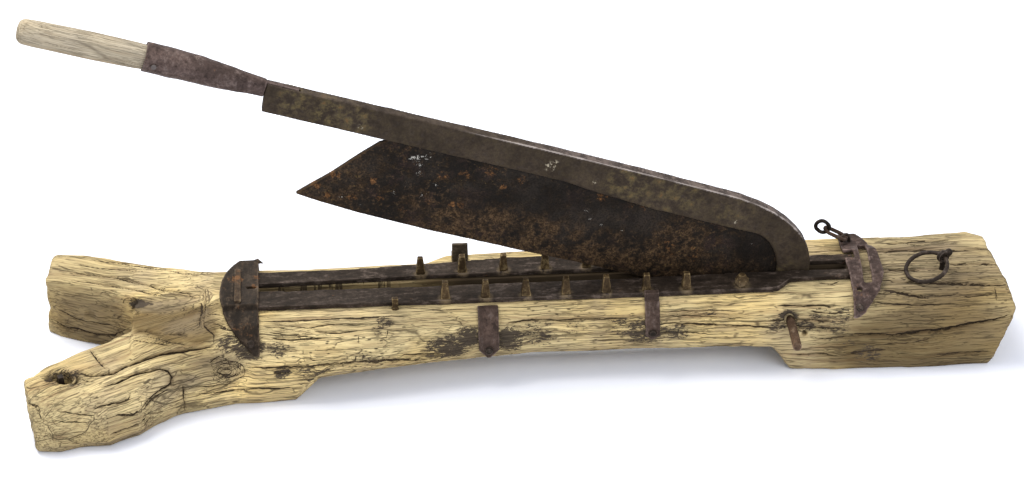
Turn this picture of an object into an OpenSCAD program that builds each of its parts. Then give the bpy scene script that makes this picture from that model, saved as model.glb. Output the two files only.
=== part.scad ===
// Hand chopper for straw and fodder: a long knife hinged in a forked timber bed.
// Millimetres. X runs along the bed, Y across it to the back, Z up from the ground.

/* [Timber bed] */
// Length of the bed over the forked feet and the block
bed_length = 1182; // [1174:2:1184]
// Height of the hewn seat under the iron rails
seat_z = 97; // [95:0.5:98]
// Height of the hollow under the middle of the bed
arch_z = 34; // [30:1:38]
// Width of the sawn slot that the knife drops into
slot_w = 17; // [16.5:0.5:20]

/* [Knife] */
// How far the knife is drawn open from level, in degrees
open_angle = 17.6; // [0:0.2:60]
// Thickness of the back bar of the knife
bar_t = 14; // [12:0.5:15]
// Thickness of the knife plate under the back bar
plate_t = 5.6; // [4:0.2:6]
// Diameter of the wooden handle
handle_d = 31; // [28:0.5:33]

/* [Pivot] */
// Distance of the pivot from the middle of the part, along the bed
pivot_x = 316.6; // [314:0.2:318]
// Height of the pivot above the ground
pivot_z = 68.3; // [67:0.1:70]
// Diameter of the pivot pin
pin_d = 11; // [9:0.5:12]

/* [Rails] */
// Thickness of the rails
rail_t = 7; // [5:0.5:8]
// Height of the teeth above the rails
tooth_h = 22; // [15:1:27]
// Spacing of the teeth
tooth_pitch = 48; // [46:0.5:49]

/* [Ring and chain] */
// Outer diameter of the tie ring
ring_d = 56; // [50:1:58]
// Thickness of the tie ring
ring_wire = 6; // [5:0.5:7]
// Thickness of the chain links
link_wire = 4; // [3:0.25:4]

/* [Hidden] */
$fn = 48;
slot_y = 20;
fit = 0.05;
skin = 0.4;
bed_end = bed_length / 2;
rail_top = seat_z + rail_t;
slot_left = -345;
slot_right = 393;
rail_end = 402;
arch_left = -248;
arch_right = 295;
pocket_z = 40;
tooth_base = 11.5;
tooth_tip = 7;
shank = 6;
shank_depth = 28;
front_teeth_y = -36;
back_teeth_y = 18;
front_teeth_x = [for (i = [0:6]) -95 + i * tooth_pitch];
back_teeth_x = [for (i = [0:7]) -122 + i * (tooth_pitch + 2)];
bolt_x = 260;
bolt_y = -34;
strap_t = 4;
plate_iron = 5;
ring_eye_pos = [507.5, -8.6, 115];
ring_aim = [-0.9, -0.436, 0];
ring_turn = atan2(ring_aim[1], ring_aim[0]);
ring_lie = 17;
ring_r = (ring_d - ring_wire) / 2;
staple_x = 399;
staple_y = 52;
staple_z = 106;
staple_legs = [staple_x - 4.5, staple_x + 4.5];
staple_foot = 89;
link_lie = 30;
upper_lean = 45;
link_bend = 6.5;
link_straight = 17;
link_reach = 2 * link_bend + link_straight;
upper_bend = 7;
handle_r = handle_d / 2;
socket_mouth = -821;
socket_floor = -760;
handle_axis = 116.9;
handle_droop = 1.3;
tenon_r = handle_r - 0.9;
iron_rails_left = [-41.5, 32.5];
iron_rails_right = [-24.5, 22.5];

// Bed stations: x, front top y, front foot y, back top y, back foot y, top z, bottom z
trunk = [
    [-467, -84, -138, 78, 98, 83, 0],
    [-440, -80, -133, 72, 90, 85, 0],
    [-409, -66, -113, 64, 80, 89, 0],
    [-370, -47, -98, 46, 64, 97, 0],
    [-306, -47, -98, 46, 64, 97, 0],
    [-276, -46, -96, 44, 61, 97, 0],
    [-248, -46, -96, 44, 60, 97, 31],
    [-177, -46, -87, 46, 59, 97, 34],
    [-114, -46, -77.5, 47, 58, 97, 34],
    [-88, -45.7, -73.3, 63, 71, 97, 34],
    [-60, -45.1, -68.7, 63, 71, 97, 34],
    [8, -44, -64, 66, 73, 97, 34],
    [169, -44, -65, 66, 73, 97, 34],
    [250, -45, -69, 66, 74, 97, 34],
    [295, -47, -72, 66, 76, 97, 34],
    [318, -48, -72, 66, 76, 97, 0],
    [372, -51, -76, 66, 77, 97, 0],
    [442, -51, -76, 66, 77, 97, 0],
    [468, -54, -78, 66, 78, 97, 0],
    [552, -56, -76, 72, 82, 97, 0],
    [606, -55, -73, 40, 66, 96, 0]];
front_leg = [
    [-330, -50, -93, -12, -6, 90, 0],
    [-409, -72, -113, -14, -10, 87, 0],
    [-436, -81, -128, -24, -24, 83, 0],
    [-459, -90, -154, -36, -40, 80, 0],
    [-493, -106, -171, -60, -66, 78, 0],
    [-529, -120, -170, -83, -86, 78, 0],
    [-552, -132, -176, -99, -100, 78, 0],
    [-579, -143, -174, -118, -116, 76, 0],
    [-606, -150, -175, -134, -130, 73, 0]];
back_leg = [
    [-330, 12, 6, 42, 60, 92, 0],
    [-409, 10, 8, 69, 82, 87, 0],
    [-467, 20, 14, 93, 108, 82, 0],
    [-500, 42, 32, 107, 122, 81, 0],
    [-529, 55, 43, 117, 130, 82, 0],
    [-565, 61, 63, 119, 131, 83, 0],
    [-600, 66, 86, 116, 126, 82, 0]];

// Burl low on the front of the fork: middle and radius of the ball that stands out of the side
burl = [-353, -54, 45];
burl_r = 44;
// Worn shoulder in the top of the fork, from the left plate towards the feet
shoulder = [[-382, 91.3], [-409, 85.8], [-440, 82.4], [-470, 82.3], [-470, 120], [-382, 120]];
shoulder_y = [-61, 16];

// One cross section, as shares of the way from the foot to the top of each side
side_shape = [[0.12, 0], [0, 0.15], [0.06, 0.5], [0.3, 0.8], [0.65, 0.94], [1, 1]];
function mix(a, b, k) = a + (b - a) * k;
function side(s, top, foot) =
    [for (p = side_shape) [mix(s[foot], s[top], p[0]), mix(s[6], s[5], p[1])]];
function flipped(list) = [for (i = [len(list) - 1:-1:0]) list[i]];
function section(s) = concat(side(s, 1, 2), flipped(side(s, 3, 4)));
function place(s) = [for (p = section(s)) [s[0], p[0], p[1]]];
function tall(table) = table[0][0] > table[1][0] ? flipped(table) : table;

// Station of the trunk at any place along the bed
function station(x, i = 0) =
    x <= trunk[i + 1][0] || i == len(trunk) - 2
    ? mix(trunk[i], trunk[i + 1], (x - trunk[i][0]) / (trunk[i + 1][0] - trunk[i][0]))
    : station(x, i + 1);

// Solid through a row of rings that all have the same number of points
module loft(rings) {
    n = len(rings[0]);
    m = len(rings);
    points = [for (r = rings) each r];
    walls = [for (i = [0:m - 2]) for (j = [0:n - 1]) each [
        [i * n + j, i * n + (j + 1) % n, (i + 1) * n + j],
        [i * n + (j + 1) % n, (i + 1) * n + (j + 1) % n, (i + 1) * n + j]]];
    ends = [[for (j = [n - 1:-1:0]) j], [for (j = [0:n - 1]) (m - 1) * n + j]];
    polyhedron(points, concat(walls, ends));
}

module along_slot() {
    translate([0, slot_y, 0]) children();
}

// Plate drawn in the X-Z plane and thickened evenly to both sides
module upright(t) {
    rotate([90, 0, 0]) linear_extrude(t, center = true) children();
}

module across(d, from, to) {
    translate([0, to, 0]) rotate([90, 0, 0]) cylinder(d = d, h = to - from);
}

// Line just outside the side of the bed at x; hand is -1 for the front and 1 for the back
lean = [[1, -0.3], [1, 0.05], [0.95, 0.3], [0.72, 0.7], [0.4, 0.9], [0.1, 1]];
function side_line(x, gap, hand) =
    let (s = side(station(x), hand < 0 ? 1 : 3, hand < 0 ? 2 : 4))
    [for (i = [1:5]) [s[i][0] + hand * lean[i][0] * gap, s[i][1] + lean[i][1] * gap]];

// Distance out from the slot and slope of that line at height z
function side_at(x, z, hand, i = 0) =
    let (s = side_line(x, 0, hand), a = s[i], b = s[i + 1])
    z <= b[1] || i == 3
    ? [mix(a[0], b[0], (z - a[1]) / (b[1] - a[1])), atan2(abs(b[0] - a[0]), b[1] - a[1])]
    : side_at(x, z, hand, i + 1);

// Nails: x, height, side of the bed, thickness of iron under the head
nails_in_straps = [[-45.5, 49, -1, 5.6], [150.5, 62, -1, 4.7], [-73, 62, 1, 4.7], [130, 62, 1, 4.7]];
nails_left = [[-326, 78, -1, 5.6], [-327, 76, 1, 8.6]];
nails_right = [[398, 84.5, -1, 5.6], [396.5, 84, 1, 5.6]];
nail_d = 5;
module at_nail(n) {
    s = side_at(n[0], n[1], n[2]);
    translate([n[0], s[0], n[1]]) rotate([-n[2] * (90 - s[1]), 0, 0]) children();
}

module nail_bores(list, d) {
    for (n = list) at_nail(n) translate([0, 0, -30]) cylinder(d = d, h = 60);
}

module nail_set(list) {
    for (n = list) at_nail(n) {
        translate([0, 0, -24]) cylinder(d = nail_d, h = 24 + n[3]);
        translate([0, 0, n[3]]) cylinder(d1 = 11, d2 = 7, h = 3);
    }
}

module timber_bed() color("burlywood") along_slot() difference() {
    union() {
        loft([for (s = trunk) place(s)]);
        loft([for (s = tall(front_leg)) place(s)]);
        loft([for (s = tall(back_leg)) place(s)]);
        translate(burl) sphere(r = burl_r);
    }
    translate([0, shoulder_y[1], 0]) rotate([90, 0, 0])
        linear_extrude(shoulder_y[1] - shoulder_y[0]) polygon(shoulder);
    // Saw cuts that square off the block and the two feet
    translate([bed_end - 16, 0, 48]) rotate([0, 0, 5.5])
        upright(300) polygon([[-28.5, -60], [0.5, 0], [10, 28], [2, 49], [-6, 70], [80, 70], [80, -60]]);
    translate([6 - bed_end, -150, 40]) rotate([0, -2, 12]) translate([-80, -90, -120]) cube([80, 180, 240]);
    translate([16 - bed_end, 90, 40]) rotate([0, 3, -7]) translate([-80, -60, -120]) cube([80, 120, 240]);
    translate([slot_left, -slot_w / 2, -5]) cube([arch_right - slot_left, slot_w, 120]);
    translate([arch_right - 1, -slot_w / 2, pocket_z]) cube([slot_right - arch_right + 1, slot_w, 80]);
    translate([pivot_x, 0, pivot_z]) across(pin_d + 2 * fit, -100, 100);
    shank_holes();
    nail_bores(concat(nails_in_straps, nails_left, nails_right), nail_d);
    side_spike_leg();
    for (x = staple_legs) translate([x, staple_y, staple_foot]) cylinder(d = link_wire, h = 50);
    translate([ring_eye_pos[0], ring_eye_pos[1], 60]) cylinder(d = 7, h = 60);
    translate([-544, -127, 52]) cylinder(d = 20, h = 40);
}

module shank_holes() {
    for (x = front_teeth_x) translate([x, front_teeth_y, 0]) square_shank();
    for (x = back_teeth_x) translate([x, back_teeth_y, 0]) square_shank();
}

module square_shank() {
    translate([-shank / 2, -shank / 2, rail_top - shank_depth]) cube([shank, shank, shank_depth]);
}

module tooth() {
    square_shank();
    translate([0, 0, rail_top]) linear_extrude(tooth_h, scale = tooth_tip / tooth_base)
        square(tooth_base, center = true);
}

module front_rail() color("#4a3f3a") along_slot() difference() {
    translate([0, 0, seat_z]) linear_extrude(rail_t) polygon([
        [slot_left, -40.5], [-206, -41.5], [208, -44.5], [292, -44.5], [304, -42], [312, -34], [320, -25.5],
        [rail_end, -23.5], [rail_end, -9.5], [250, -9.5], [100, -11.5], [-100, -11.5], [slot_left, -9]]);
    for (x = front_teeth_x) translate([x, front_teeth_y, 0]) square_shank();
    translate([bolt_x, bolt_y, 0]) cylinder(d = 9, h = 200);
}

module back_rail() color("#463c38") along_slot() difference() {
    translate([0, 0, seat_z]) linear_extrude(rail_t) polygon([
        [slot_left, 6], [-100, 11.5], [100, 11.5], [250, 9.5], [rail_end, 9], [rail_end, 21.3], [320, 23.5],
        [306, 38], [292, 43.5], [24, 43.5], [-24, 42.5], [-98, 37], [-206, 31.5], [slot_left, 31.5]]);
    for (x = back_teeth_x) translate([x, back_teeth_y, 0]) square_shank();
}

module front_teeth() color("#7d6a45") along_slot()
    for (x = front_teeth_x) translate([x, front_teeth_y, 0]) tooth();

module back_teeth() color("#7d6a45") along_slot()
    for (x = back_teeth_x) translate([x, back_teeth_y, 0]) tooth();

// Domed nut on a round stud near the pivot end of the front rail
module rail_bolt() color("#6e5f4d") along_slot() translate([bolt_x, bolt_y, 0]) {
    translate([0, 0, rail_top - 7]) cylinder(d = 9, h = 7);
    translate([0, 0, rail_top]) cylinder(d = 17, h = 9, $fn = 6);
    translate([0, 0, rail_top + 9]) cylinder(d1 = 14, d2 = 8, h = 5);
}

// Bent spike over the rail edge and down into the bed
module side_spike_leg() {
    translate([-159, -47, 80]) cube([8, 4.4, 31]);
}

module side_spike() color("#6b604c") along_slot() {
    side_spike_leg();
    translate([-159, -47, rail_top + fit]) cube([8, 10, 5]);
}

// Saddle plate: an iron sheet bent over the bed and the ends of the rails
plate_under = rail_top + fit;
plate_low = seat_z + skin;
back_horn_left = [[50, 104.05], [54.8, 92], [61, 74], [62.5, 62]];
back_horn_right = flipped(concat(side_line(407, skin, 1), [[40, plate_low], [22.5, plate_under]]));

// It rises from the bed at front_low to the edge of the front rail at front_high
module bent_sheet(x, w, front_low, front_high, back_horn) {
    t = plate_iron;
    back_out = [for (p = back_horn) [p[0] + (p[1] < 95 ? t : 1.5), p[1] + (p[1] < 95 ? 1 : t)]];
    translate([x - w / 2, 0, 0]) rotate([90, 0, 90]) linear_extrude(w) polygon(concat(
        side_line(x, skin, -1), [[front_low, plate_low], [front_high, plate_under]], back_horn,
        flipped(back_out), [[front_high, plate_under + t], [front_low - 2, plate_low + t]],
        flipped(side_line(x, skin + t, -1))));
}

// Trim of a saddle plate seen from above: straight at edge, bulging out by rx
module crescent(edge, rx, hand, cy, ry) {
    linear_extrude(200)
        polygon([for (a = [-90:10:90]) [edge + hand * rx * cos(a), cy + ry * sin(a)]]);
}

// Trim of its horns seen from the side, as steps out from the straight edge
module horn_trim(edge, hand, steps) {
    upright(400) polygon(concat([[edge, 160], [edge + hand * steps[0][0], 160]],
        [for (s = steps) [edge + hand * s[0], s[1]]]));
}
horn_left = [[50, 102], [47, 96], [39, 88], [28, 80], [19, 72], [12, 67], [5, 65], [0, 66]];
horn_right = [[44, 110], [37, 103], [27, 96], [19, 87], [14, 81], [9, 77], [4, 75], [0, 75]];

// Torn corner that curls up past the straight edge of the left plate
torn_corner = [[-324, 108], [-317, 111], [-310, 103.5], [-318, 104.5]];

module left_saddle_plate() color("#4d443c") along_slot() difference() {
    union() {
        intersection() {
            bent_sheet(-338, 60, -43.5, -41.5, back_horn_left);
            crescent(-316, 47, -1, -14, 76);
            horn_trim(-316, -1, horn_left);
        }
        translate([0, 50, 0]) upright(4) polygon(torn_corner);
    }
    translate([-331, -8.5, 80]) cube([12, 4, 40]);
    nail_bores(nails_left, nail_d);
}

module left_plate_rib() color("#5a5043") along_slot()
    translate([-345, -38, rail_top + fit + plate_iron]) cube([8, 66, 3.5]);

module right_saddle_plate() color("#54473f") along_slot() difference() {
    intersection() {
        bent_sheet(407, 60, -46, -24.5, back_horn_right);
        crescent(391, 44, 1, -6, 86);
        horn_trim(391, 1, horn_right);
    }
    translate([407.2, -40, 80]) rotate([0, 0, -3]) cube([9.5, 80, 60]);
    translate([385, 7, 80]) cube([rail_end - 384, 16, 60]);
    translate([397, -53, 80]) cube([6, 6, 60]);
    nail_bores(nails_right, nail_d);
    for (x = staple_legs) translate([x, staple_y, 60]) cylinder(d = link_wire, h = 80);
}

// Edge of a strap under which the side of the bed stands out most
function proud(x, w, hand) =
    let (foot = hand < 0 ? 2 : 4)
    abs(station(x + w / 2)[foot]) > abs(station(x - w / 2)[foot]) ? x + w / 2 : x - w / 2;

// Strap down the side of the bed, cut to a point at its lower end
module strap(x, w, hand, low, tip, head_in, head_out) {
    in = side_line(proud(x, w, hand), skin, hand);
    out = side_line(proud(x, w, hand), skin + strap_t, hand);
    intersection() {
        translate([x - w / 2, 0, 0]) rotate([90, 0, 90]) linear_extrude(w) polygon(concat(
            [[in[0][0], low]], [for (i = [0:3]) in[i]], head_in,
            flipped(head_out), [for (i = [3:-1:0]) out[i]], [[out[0][0], low]]));
        translate([x, 0, 0]) upright(400) polygon([[-w / 2, 200], [-w / 2, low + tip],
            [-2, low], [2, low], [w / 2, low + tip], [w / 2, 200]]);
    }
}

module front_strap_left() color("#54473f") along_slot() difference() {
    strap(-45.5, 25, -1, 38, 11, [[-46.5, 97.2]], [[-49.5, 99]]);
    nail_bores([nails_in_straps[0]], nail_d);
}

module front_strap_right() color("#54413c") along_slot() difference() {
    strap(150.5, 18, -1, 52, 6, [[-45.3, 97.5], [-45.3, 104.3], [-42.2, 104.3]],
        [[-49.5, 98], [-49, 106], [-42.2, 107.6]]);
    nail_bores([nails_in_straps[1]], nail_d);
}

module back_strap_left() color("#4f443b") along_slot() difference() {
    strap(-73, 20, 1, 50, 8, [[63.6, 97.5], [45, 97.5], [45, 124]], [[66.5, 101.5], [49, 101.5], [49, 124]]);
    nail_bores([nails_in_straps[2]], nail_d);
}

module back_strap_right() color("#4f443b") along_slot() difference() {
    strap(130, 20, 1, 50, 8, [[66.6, 97.5], [44.3, 97.5], [44.3, 104.3], [38, 104.3]],
        [[69.5, 101.5], [47.8, 101.5], [47.5, 107.5], [38, 108.3]]);
    nail_bores([nails_in_straps[3]], nail_d);
}

module strap_nails() color("#3f3a36") along_slot() nail_set(nails_in_straps);

module left_plate_nails() color("#3f3a36") along_slot() nail_set(nails_left);

module right_plate_nails() color("#3f3a36") along_slot() nail_set(nails_right);

// Forged eye bolt that holds the tie ring, ending in a round knob on its far side
knob = [-8, 0, 3.5];
knob_r = 4.8;
module ring_eye() color("#5d544b") along_slot() {
    translate(ring_eye_pos) rotate([0, 0, ring_turn]) translate(knob) sphere(r = knob_r);
    translate([ring_eye_pos[0], ring_eye_pos[1], 60]) cylinder(d = 7, h = ring_eye_pos[2] - 60 - 5);
    translate(ring_eye_pos) rotate([0, 0, ring_turn]) rotate([90, 0, 0]) difference() {
        cylinder(r = 8, h = 6, center = true);
        cylinder(r = 3.8, h = 10, center = true);
    }
}

module tie_ring() color("#4c4744") along_slot()
    translate(ring_eye_pos) rotate([0, 0, ring_turn]) rotate([0, ring_lie, 0])
        translate([ring_r, 0, 0]) rotate_extrude() translate([ring_r, 0]) circle(d = ring_wire);

// Staple driven through the plate, holding the chain
module chain_staple() color("#4c4744") along_slot() translate([staple_x, staple_y, 0]) {
    for (x = [-4.5, 4.5]) translate([x, 0, staple_foot])
        cylinder(d = link_wire, h = staple_z + 1 - staple_foot);
    translate([0, 0, staple_z + 1]) rotate([90, 0, 0])
        rotate_extrude(angle = 180) translate([4.5, 0]) circle(d = link_wire);
}

// Chain link lying along -X from the point where it is held
module link(bend, straight) {
    for (end = [0, 1]) translate([end ? -bend - straight : -bend, 0, 0]) rotate([0, 0, end ? 90 : -90])
        rotate_extrude(angle = 180) translate([bend, 0]) circle(d = link_wire);
    for (y = [-bend, bend]) translate([-bend - straight, y, 0]) rotate([0, 90, 0])
        cylinder(d = link_wire, h = straight);
}

module at_lower_link() {
    along_slot() translate([staple_x, staple_y, staple_z]) rotate([0, link_lie, 0]) children();
}

module chain_link_lower() color("#4c4038") at_lower_link() link(link_bend, link_straight);

module chain_link_upper() color("#5a463a") at_lower_link() translate([-link_reach, 0, 0])
    rotate([0, -link_lie - upper_lean, 0]) translate([0, 0, -link_wire - 0.3]) rotate([90, 90, 0])
        link(upper_bend, 4);

module foot_spike() color("#3b3632") along_slot()
    translate([-545, -127.5, 54]) rotate([3, -5, 20]) translate([-3.5, -3.5, 0]) cube([7, 7, 26]);

module pivot_pin() color("#8a7a66") along_slot() translate([pivot_x, 0, pivot_z]) across(pin_d, -118, 79);

// Knife, drawn level with its pivot at the origin and its handle towards -X
module at_knife() {
    translate([pivot_x, slot_y, pivot_z]) rotate([0, open_angle, 0]) children();
}

function sharp(c, r, n, a) = [c[0] + r[0] * pow(cos(a), 2 / n), c[1] + r[1] * pow(sin(a), 2 / n)];
eye_r = 20;
hook_back = [for (a = [90:-9:0]) sharp([-126, 20], [146, 97], 2.3, a)];
hook_belly = [for (a = [0:10:90]) sharp([-63, 20], [43, 53], 1.8, a)];
eye_round = [for (a = [0:-12:-180]) [eye_r * cos(a), eye_r * sin(a)]];
bar_outline = concat([[-678, 121], [-551, 120.5], [-330, 120.5], [-204, 119]], hook_back, eye_round,
    hook_belly, [[-190, 74], [-262, 79], [-314, 84], [-675, 84], [-678, 103]]);

// Plate stations: place along the knife, cutting edge, upper edge
plate_rows = [[-607, -17, -15], [-574, -21, 23], [-546, -23, 60], [-532, -24, 77], [-518, -24.5, 86],
    [-508, -25, 104],
    [-440, -26.5, 104], [-316, -26, 104], [-262, -25, 99], [-190, -25, 95], [-100, -25, 95],
    [-60, -24, 90], [-42, -18, 80], [-28, -8, 66], [-14, 6, 50]];
function plate_ring(s) =
    let (h = plate_t / 2, z = min(s[1] + 26, mix(s[1], s[2], 0.6)))
    [[s[0], -0.5, s[1]], [s[0], -h, z], [s[0], -h, s[2]], [s[0], h, s[2]], [s[0], h, z], [s[0], 0.5, s[1]]];
module plate_blank() {
    loft([for (s = plate_rows) plate_ring(s)]);
}

module knife_plate() color("#3a2c22") at_knife() plate_blank();

module knife_back_bar() color("#544a3d") at_knife() difference() {
    upright(bar_t) polygon(bar_outline);
    plate_blank();
    across(pin_d + 2 * fit, -20, 20);
    translate([-690, -3, 104]) cube([52, 6, 18]);
}

// Rolled socket: round at the mouth, beaten flat where it meets the back bar
function oval(x, ry, cz, rz, n) =
    [for (a = [220:-15:-139]) [x, ry * sign(cos(a)) * pow(abs(cos(a)), 2 / n),
        cz + rz * sign(sin(a)) * pow(abs(sin(a)), 2 / n)]];
module handle_socket() color("#4a3a34") at_knife() difference() {
    union() {
        loft([oval(socket_mouth, 17.6, 117.2, 17.8, 2), oval(-782, 17.4, 116.7, 17.2, 2),
            oval(-755, 17, 116, 16.6, 2), oval(-742, 16.5, 115.3, 15.8, 2),
            oval(-715, 12.5, 113.9, 13.9, 2.3), oval(-692, 8, 113, 11.6, 3),
            oval(-678.4, 7, 112.5, 10.5, 4)]);
        translate([-700, -3, 104]) cube([60, 6, 18]);
    }
    at_handle() cylinder(r = tenon_r, h = 90);
    handle_nail_shank();
}

module at_handle() {
    translate([-790, 0, handle_axis]) rotate([0, -90 - handle_droop, 0])
        translate([0, 0, -790 - socket_floor]) children();
}

module handle_nail_shank() {
    translate([-809, 0, handle_axis]) across(4, -18, -4);
}

module wooden_handle() color("#b6a888") at_knife() difference() {
    at_handle() rotate_extrude() polygon(concat(
        [[0, 0], [tenon_r, 0], [tenon_r, 63], [handle_r - 0.4, 68], [handle_r + 0.6, 120], [handle_r, 185]],
        [for (a = [0:15:90]) [handle_r - 10 + 9.5 * cos(a), 196.5 + 9.5 * sin(a)]], [[0, 206.5]]));
    handle_nail_shank();
}

module handle_nail() color("#2f2a27") at_knife() {
    handle_nail_shank();
    translate([-809, 0, handle_axis]) across(7, -20, -17.9);
}

timber_bed();
front_rail();
back_rail();
front_teeth();
back_teeth();
rail_bolt();
side_spike();
left_saddle_plate();
left_plate_rib();
right_saddle_plate();
front_strap_left();
front_strap_right();
back_strap_left();
back_strap_right();
strap_nails();
left_plate_nails();
right_plate_nails();
ring_eye();
chain_staple();
foot_spike();
pivot_pin();
knife_plate();
knife_back_bar();
handle_socket();
wooden_handle();
handle_nail();
tie_ring();
chain_link_lower();
chain_link_upper();
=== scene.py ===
"""Hand chopper for straw and fodder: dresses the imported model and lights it.

Sizes are in metres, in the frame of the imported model: X along the bed, Y away from the camera, Z up.
"""

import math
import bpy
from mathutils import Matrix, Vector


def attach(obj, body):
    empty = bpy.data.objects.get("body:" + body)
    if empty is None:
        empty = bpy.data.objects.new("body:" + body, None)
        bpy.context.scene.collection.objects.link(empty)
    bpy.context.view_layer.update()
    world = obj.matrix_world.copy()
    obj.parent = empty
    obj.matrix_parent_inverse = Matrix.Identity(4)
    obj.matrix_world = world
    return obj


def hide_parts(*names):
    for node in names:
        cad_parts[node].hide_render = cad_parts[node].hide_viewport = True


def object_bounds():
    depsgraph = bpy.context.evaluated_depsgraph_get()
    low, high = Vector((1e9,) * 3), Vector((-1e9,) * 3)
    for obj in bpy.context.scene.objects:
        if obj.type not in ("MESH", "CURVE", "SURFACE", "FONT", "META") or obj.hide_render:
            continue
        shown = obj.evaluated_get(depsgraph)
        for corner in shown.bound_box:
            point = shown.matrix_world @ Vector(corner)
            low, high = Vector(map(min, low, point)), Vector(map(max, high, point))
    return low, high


bl_info = {
    "name": "Fodder Chopper",
    "version": (1, 0, 0),
    "blender": (4, 5, 0),
    "location": "View3D > Sidebar > Chopper",
    "description": "Weathered timber bed, forged irons and a hinged knife",
    "category": "Object",
}

import bmesh
import bpy
import numpy as np
from mathutils import Vector

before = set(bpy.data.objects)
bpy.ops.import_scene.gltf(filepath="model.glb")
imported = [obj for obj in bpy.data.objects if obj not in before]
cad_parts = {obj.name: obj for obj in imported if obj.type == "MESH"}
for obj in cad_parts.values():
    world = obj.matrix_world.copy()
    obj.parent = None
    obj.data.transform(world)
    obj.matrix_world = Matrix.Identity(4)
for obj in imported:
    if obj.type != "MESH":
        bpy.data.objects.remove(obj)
CAD_BOX = [list(corner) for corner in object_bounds()]

MM = 0.001
PIVOT = np.array((316.6, 20.0, 68.3)) * MM
OPEN = math.radians(17.6)


def noise(points, seed=0):
    """Smooth gradient noise at each point, about -1 to 1."""
    rng = np.random.default_rng(seed)
    order = rng.permutation(256)
    slopes = rng.normal(size=(256, 3))
    slopes /= np.linalg.norm(slopes, axis=1)[:, None]
    cell = np.floor(points).astype(np.int64)
    part = points - cell
    ease = part**3 * (part * (part * 6 - 15) + 10)
    total = np.zeros(len(points))
    for corner in np.ndindex(2, 2, 2):
        at = (cell + corner) & 255
        pick = order[(order[(order[at[:, 0]] + at[:, 1]) & 255] + at[:, 2]) & 255]
        weight = np.prod(np.where(corner, ease, 1 - ease), axis=1)
        total += weight * np.sum(slopes[pick] * (part - corner), axis=1)
    return total * 1.7


def layered(points, octaves=3, seed=0):
    total = np.zeros(len(points))
    for i in range(octaves):
        total += noise(points * 2.0**i, seed + i) / 2.0**i
    return total


def step(low, high, values):
    t = np.clip((values - low) / (high - low), 0, 1)
    return t * t * (3 - 2 * t)


def plain_copy(node):
    """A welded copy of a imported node's mesh."""
    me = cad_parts[node].data.copy()
    bm = bmesh.new()
    bm.from_mesh(me)
    bmesh.ops.remove_doubles(bm, verts=bm.verts, dist=1e-6)
    bmesh.ops.recalc_face_normals(bm, faces=bm.faces)
    bm.to_mesh(me)
    bm.free()
    me.materials.clear()
    return me


def remeshed(me, voxel):
    """The same solid as an even net of small squares."""
    ob = bpy.data.objects.new("net", me)
    bpy.context.scene.collection.objects.link(ob)
    modifier = ob.modifiers.new("net", "REMESH")
    modifier.mode = "VOXEL"
    modifier.voxel_size = voxel
    modifier.use_smooth_shade = True
    graph = bpy.context.evaluated_depsgraph_get()
    out = bpy.data.meshes.new_from_object(ob.evaluated_get(graph))
    bpy.data.objects.remove(ob)
    return out


class Net:
    """A mesh's points, edges and normals as arrays."""

    def __init__(self, me):
        self.me = me
        self.n = len(me.vertices)
        self.co = np.empty(self.n * 3)
        me.vertices.foreach_get("co", self.co)
        self.co = self.co.reshape(-1, 3)
        ends = np.empty(len(me.edges) * 2, np.int64)
        me.edges.foreach_get("vertices", ends)
        self.ends = ends.reshape(-1, 2)
        self.near = np.maximum(np.bincount(self.ends.ravel(), minlength=self.n), 1)

    def normals(self):
        self.write()
        flat = np.empty(self.n * 3)
        self.me.vertices.foreach_get("normal", flat)
        return flat.reshape(-1, 3)

    def write(self):
        self.me.vertices.foreach_set("co", self.co.ravel())
        self.me.update()

    def around(self, values):
        """Average of each point's neighbours."""
        values = values.reshape(self.n, -1)
        a, b = self.ends[:, 0], self.ends[:, 1]
        out = np.stack([
            np.bincount(a, values[b, k], self.n) + np.bincount(b, values[a, k], self.n)
            for k in range(values.shape[1])], axis=1)
        return (out / self.near[:, None]).squeeze()

    def soften(self, rounds, share=0.5):
        for _ in range(rounds):
            self.co += share * (self.around(self.co) - self.co)

    def swell(self, amount):
        self.co += self.normals() * np.asarray(amount)[:, None]

    def edge_relief(self, size, rounds=2):
        """How far each point stands out from its neighbours: above 0 on a ridge, below 0 in a groove."""
        out = np.sum((self.co - self.around(self.co)) * self.normals(), axis=1) / size
        for _ in range(rounds):
            out = 0.5 * out + 0.5 * self.around(out)
        return out

    def keep(self, name, values):
        values = np.asarray(values, np.float32)
        kind = "FLOAT_VECTOR" if values.ndim == 2 else "FLOAT"
        layer = self.me.attributes.new(name, kind, "POINT")
        layer.data.foreach_set("vector" if values.ndim == 2 else "value", values.ravel())


def piece(name, me, body, slot, material, *nodes):
    """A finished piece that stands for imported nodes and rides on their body."""
    ob = bpy.data.objects.new(name, me)
    bpy.context.scene.collection.objects.link(ob)
    me.materials.clear()
    me.materials.append(material)
    for p in me.polygons:
        p.use_smooth = True
    if nodes:
        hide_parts(*nodes)
    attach(ob, body)
    return ob


def near(co, spots, reach=1.5):
    """1 at each spot, fading to 0 at its radius: x, y, z and radius in mm, and a strength if given."""
    out = np.zeros(len(co))
    for x, y, z, r, *strength in spots:
        away = np.linalg.norm((co / MM - (x, y, z)) / (r * reach, r, r), axis=1)
        out = np.maximum(out, (1 - step(0.35, 1.0, away)) * (strength[0] if strength else 1))
    return out


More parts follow.
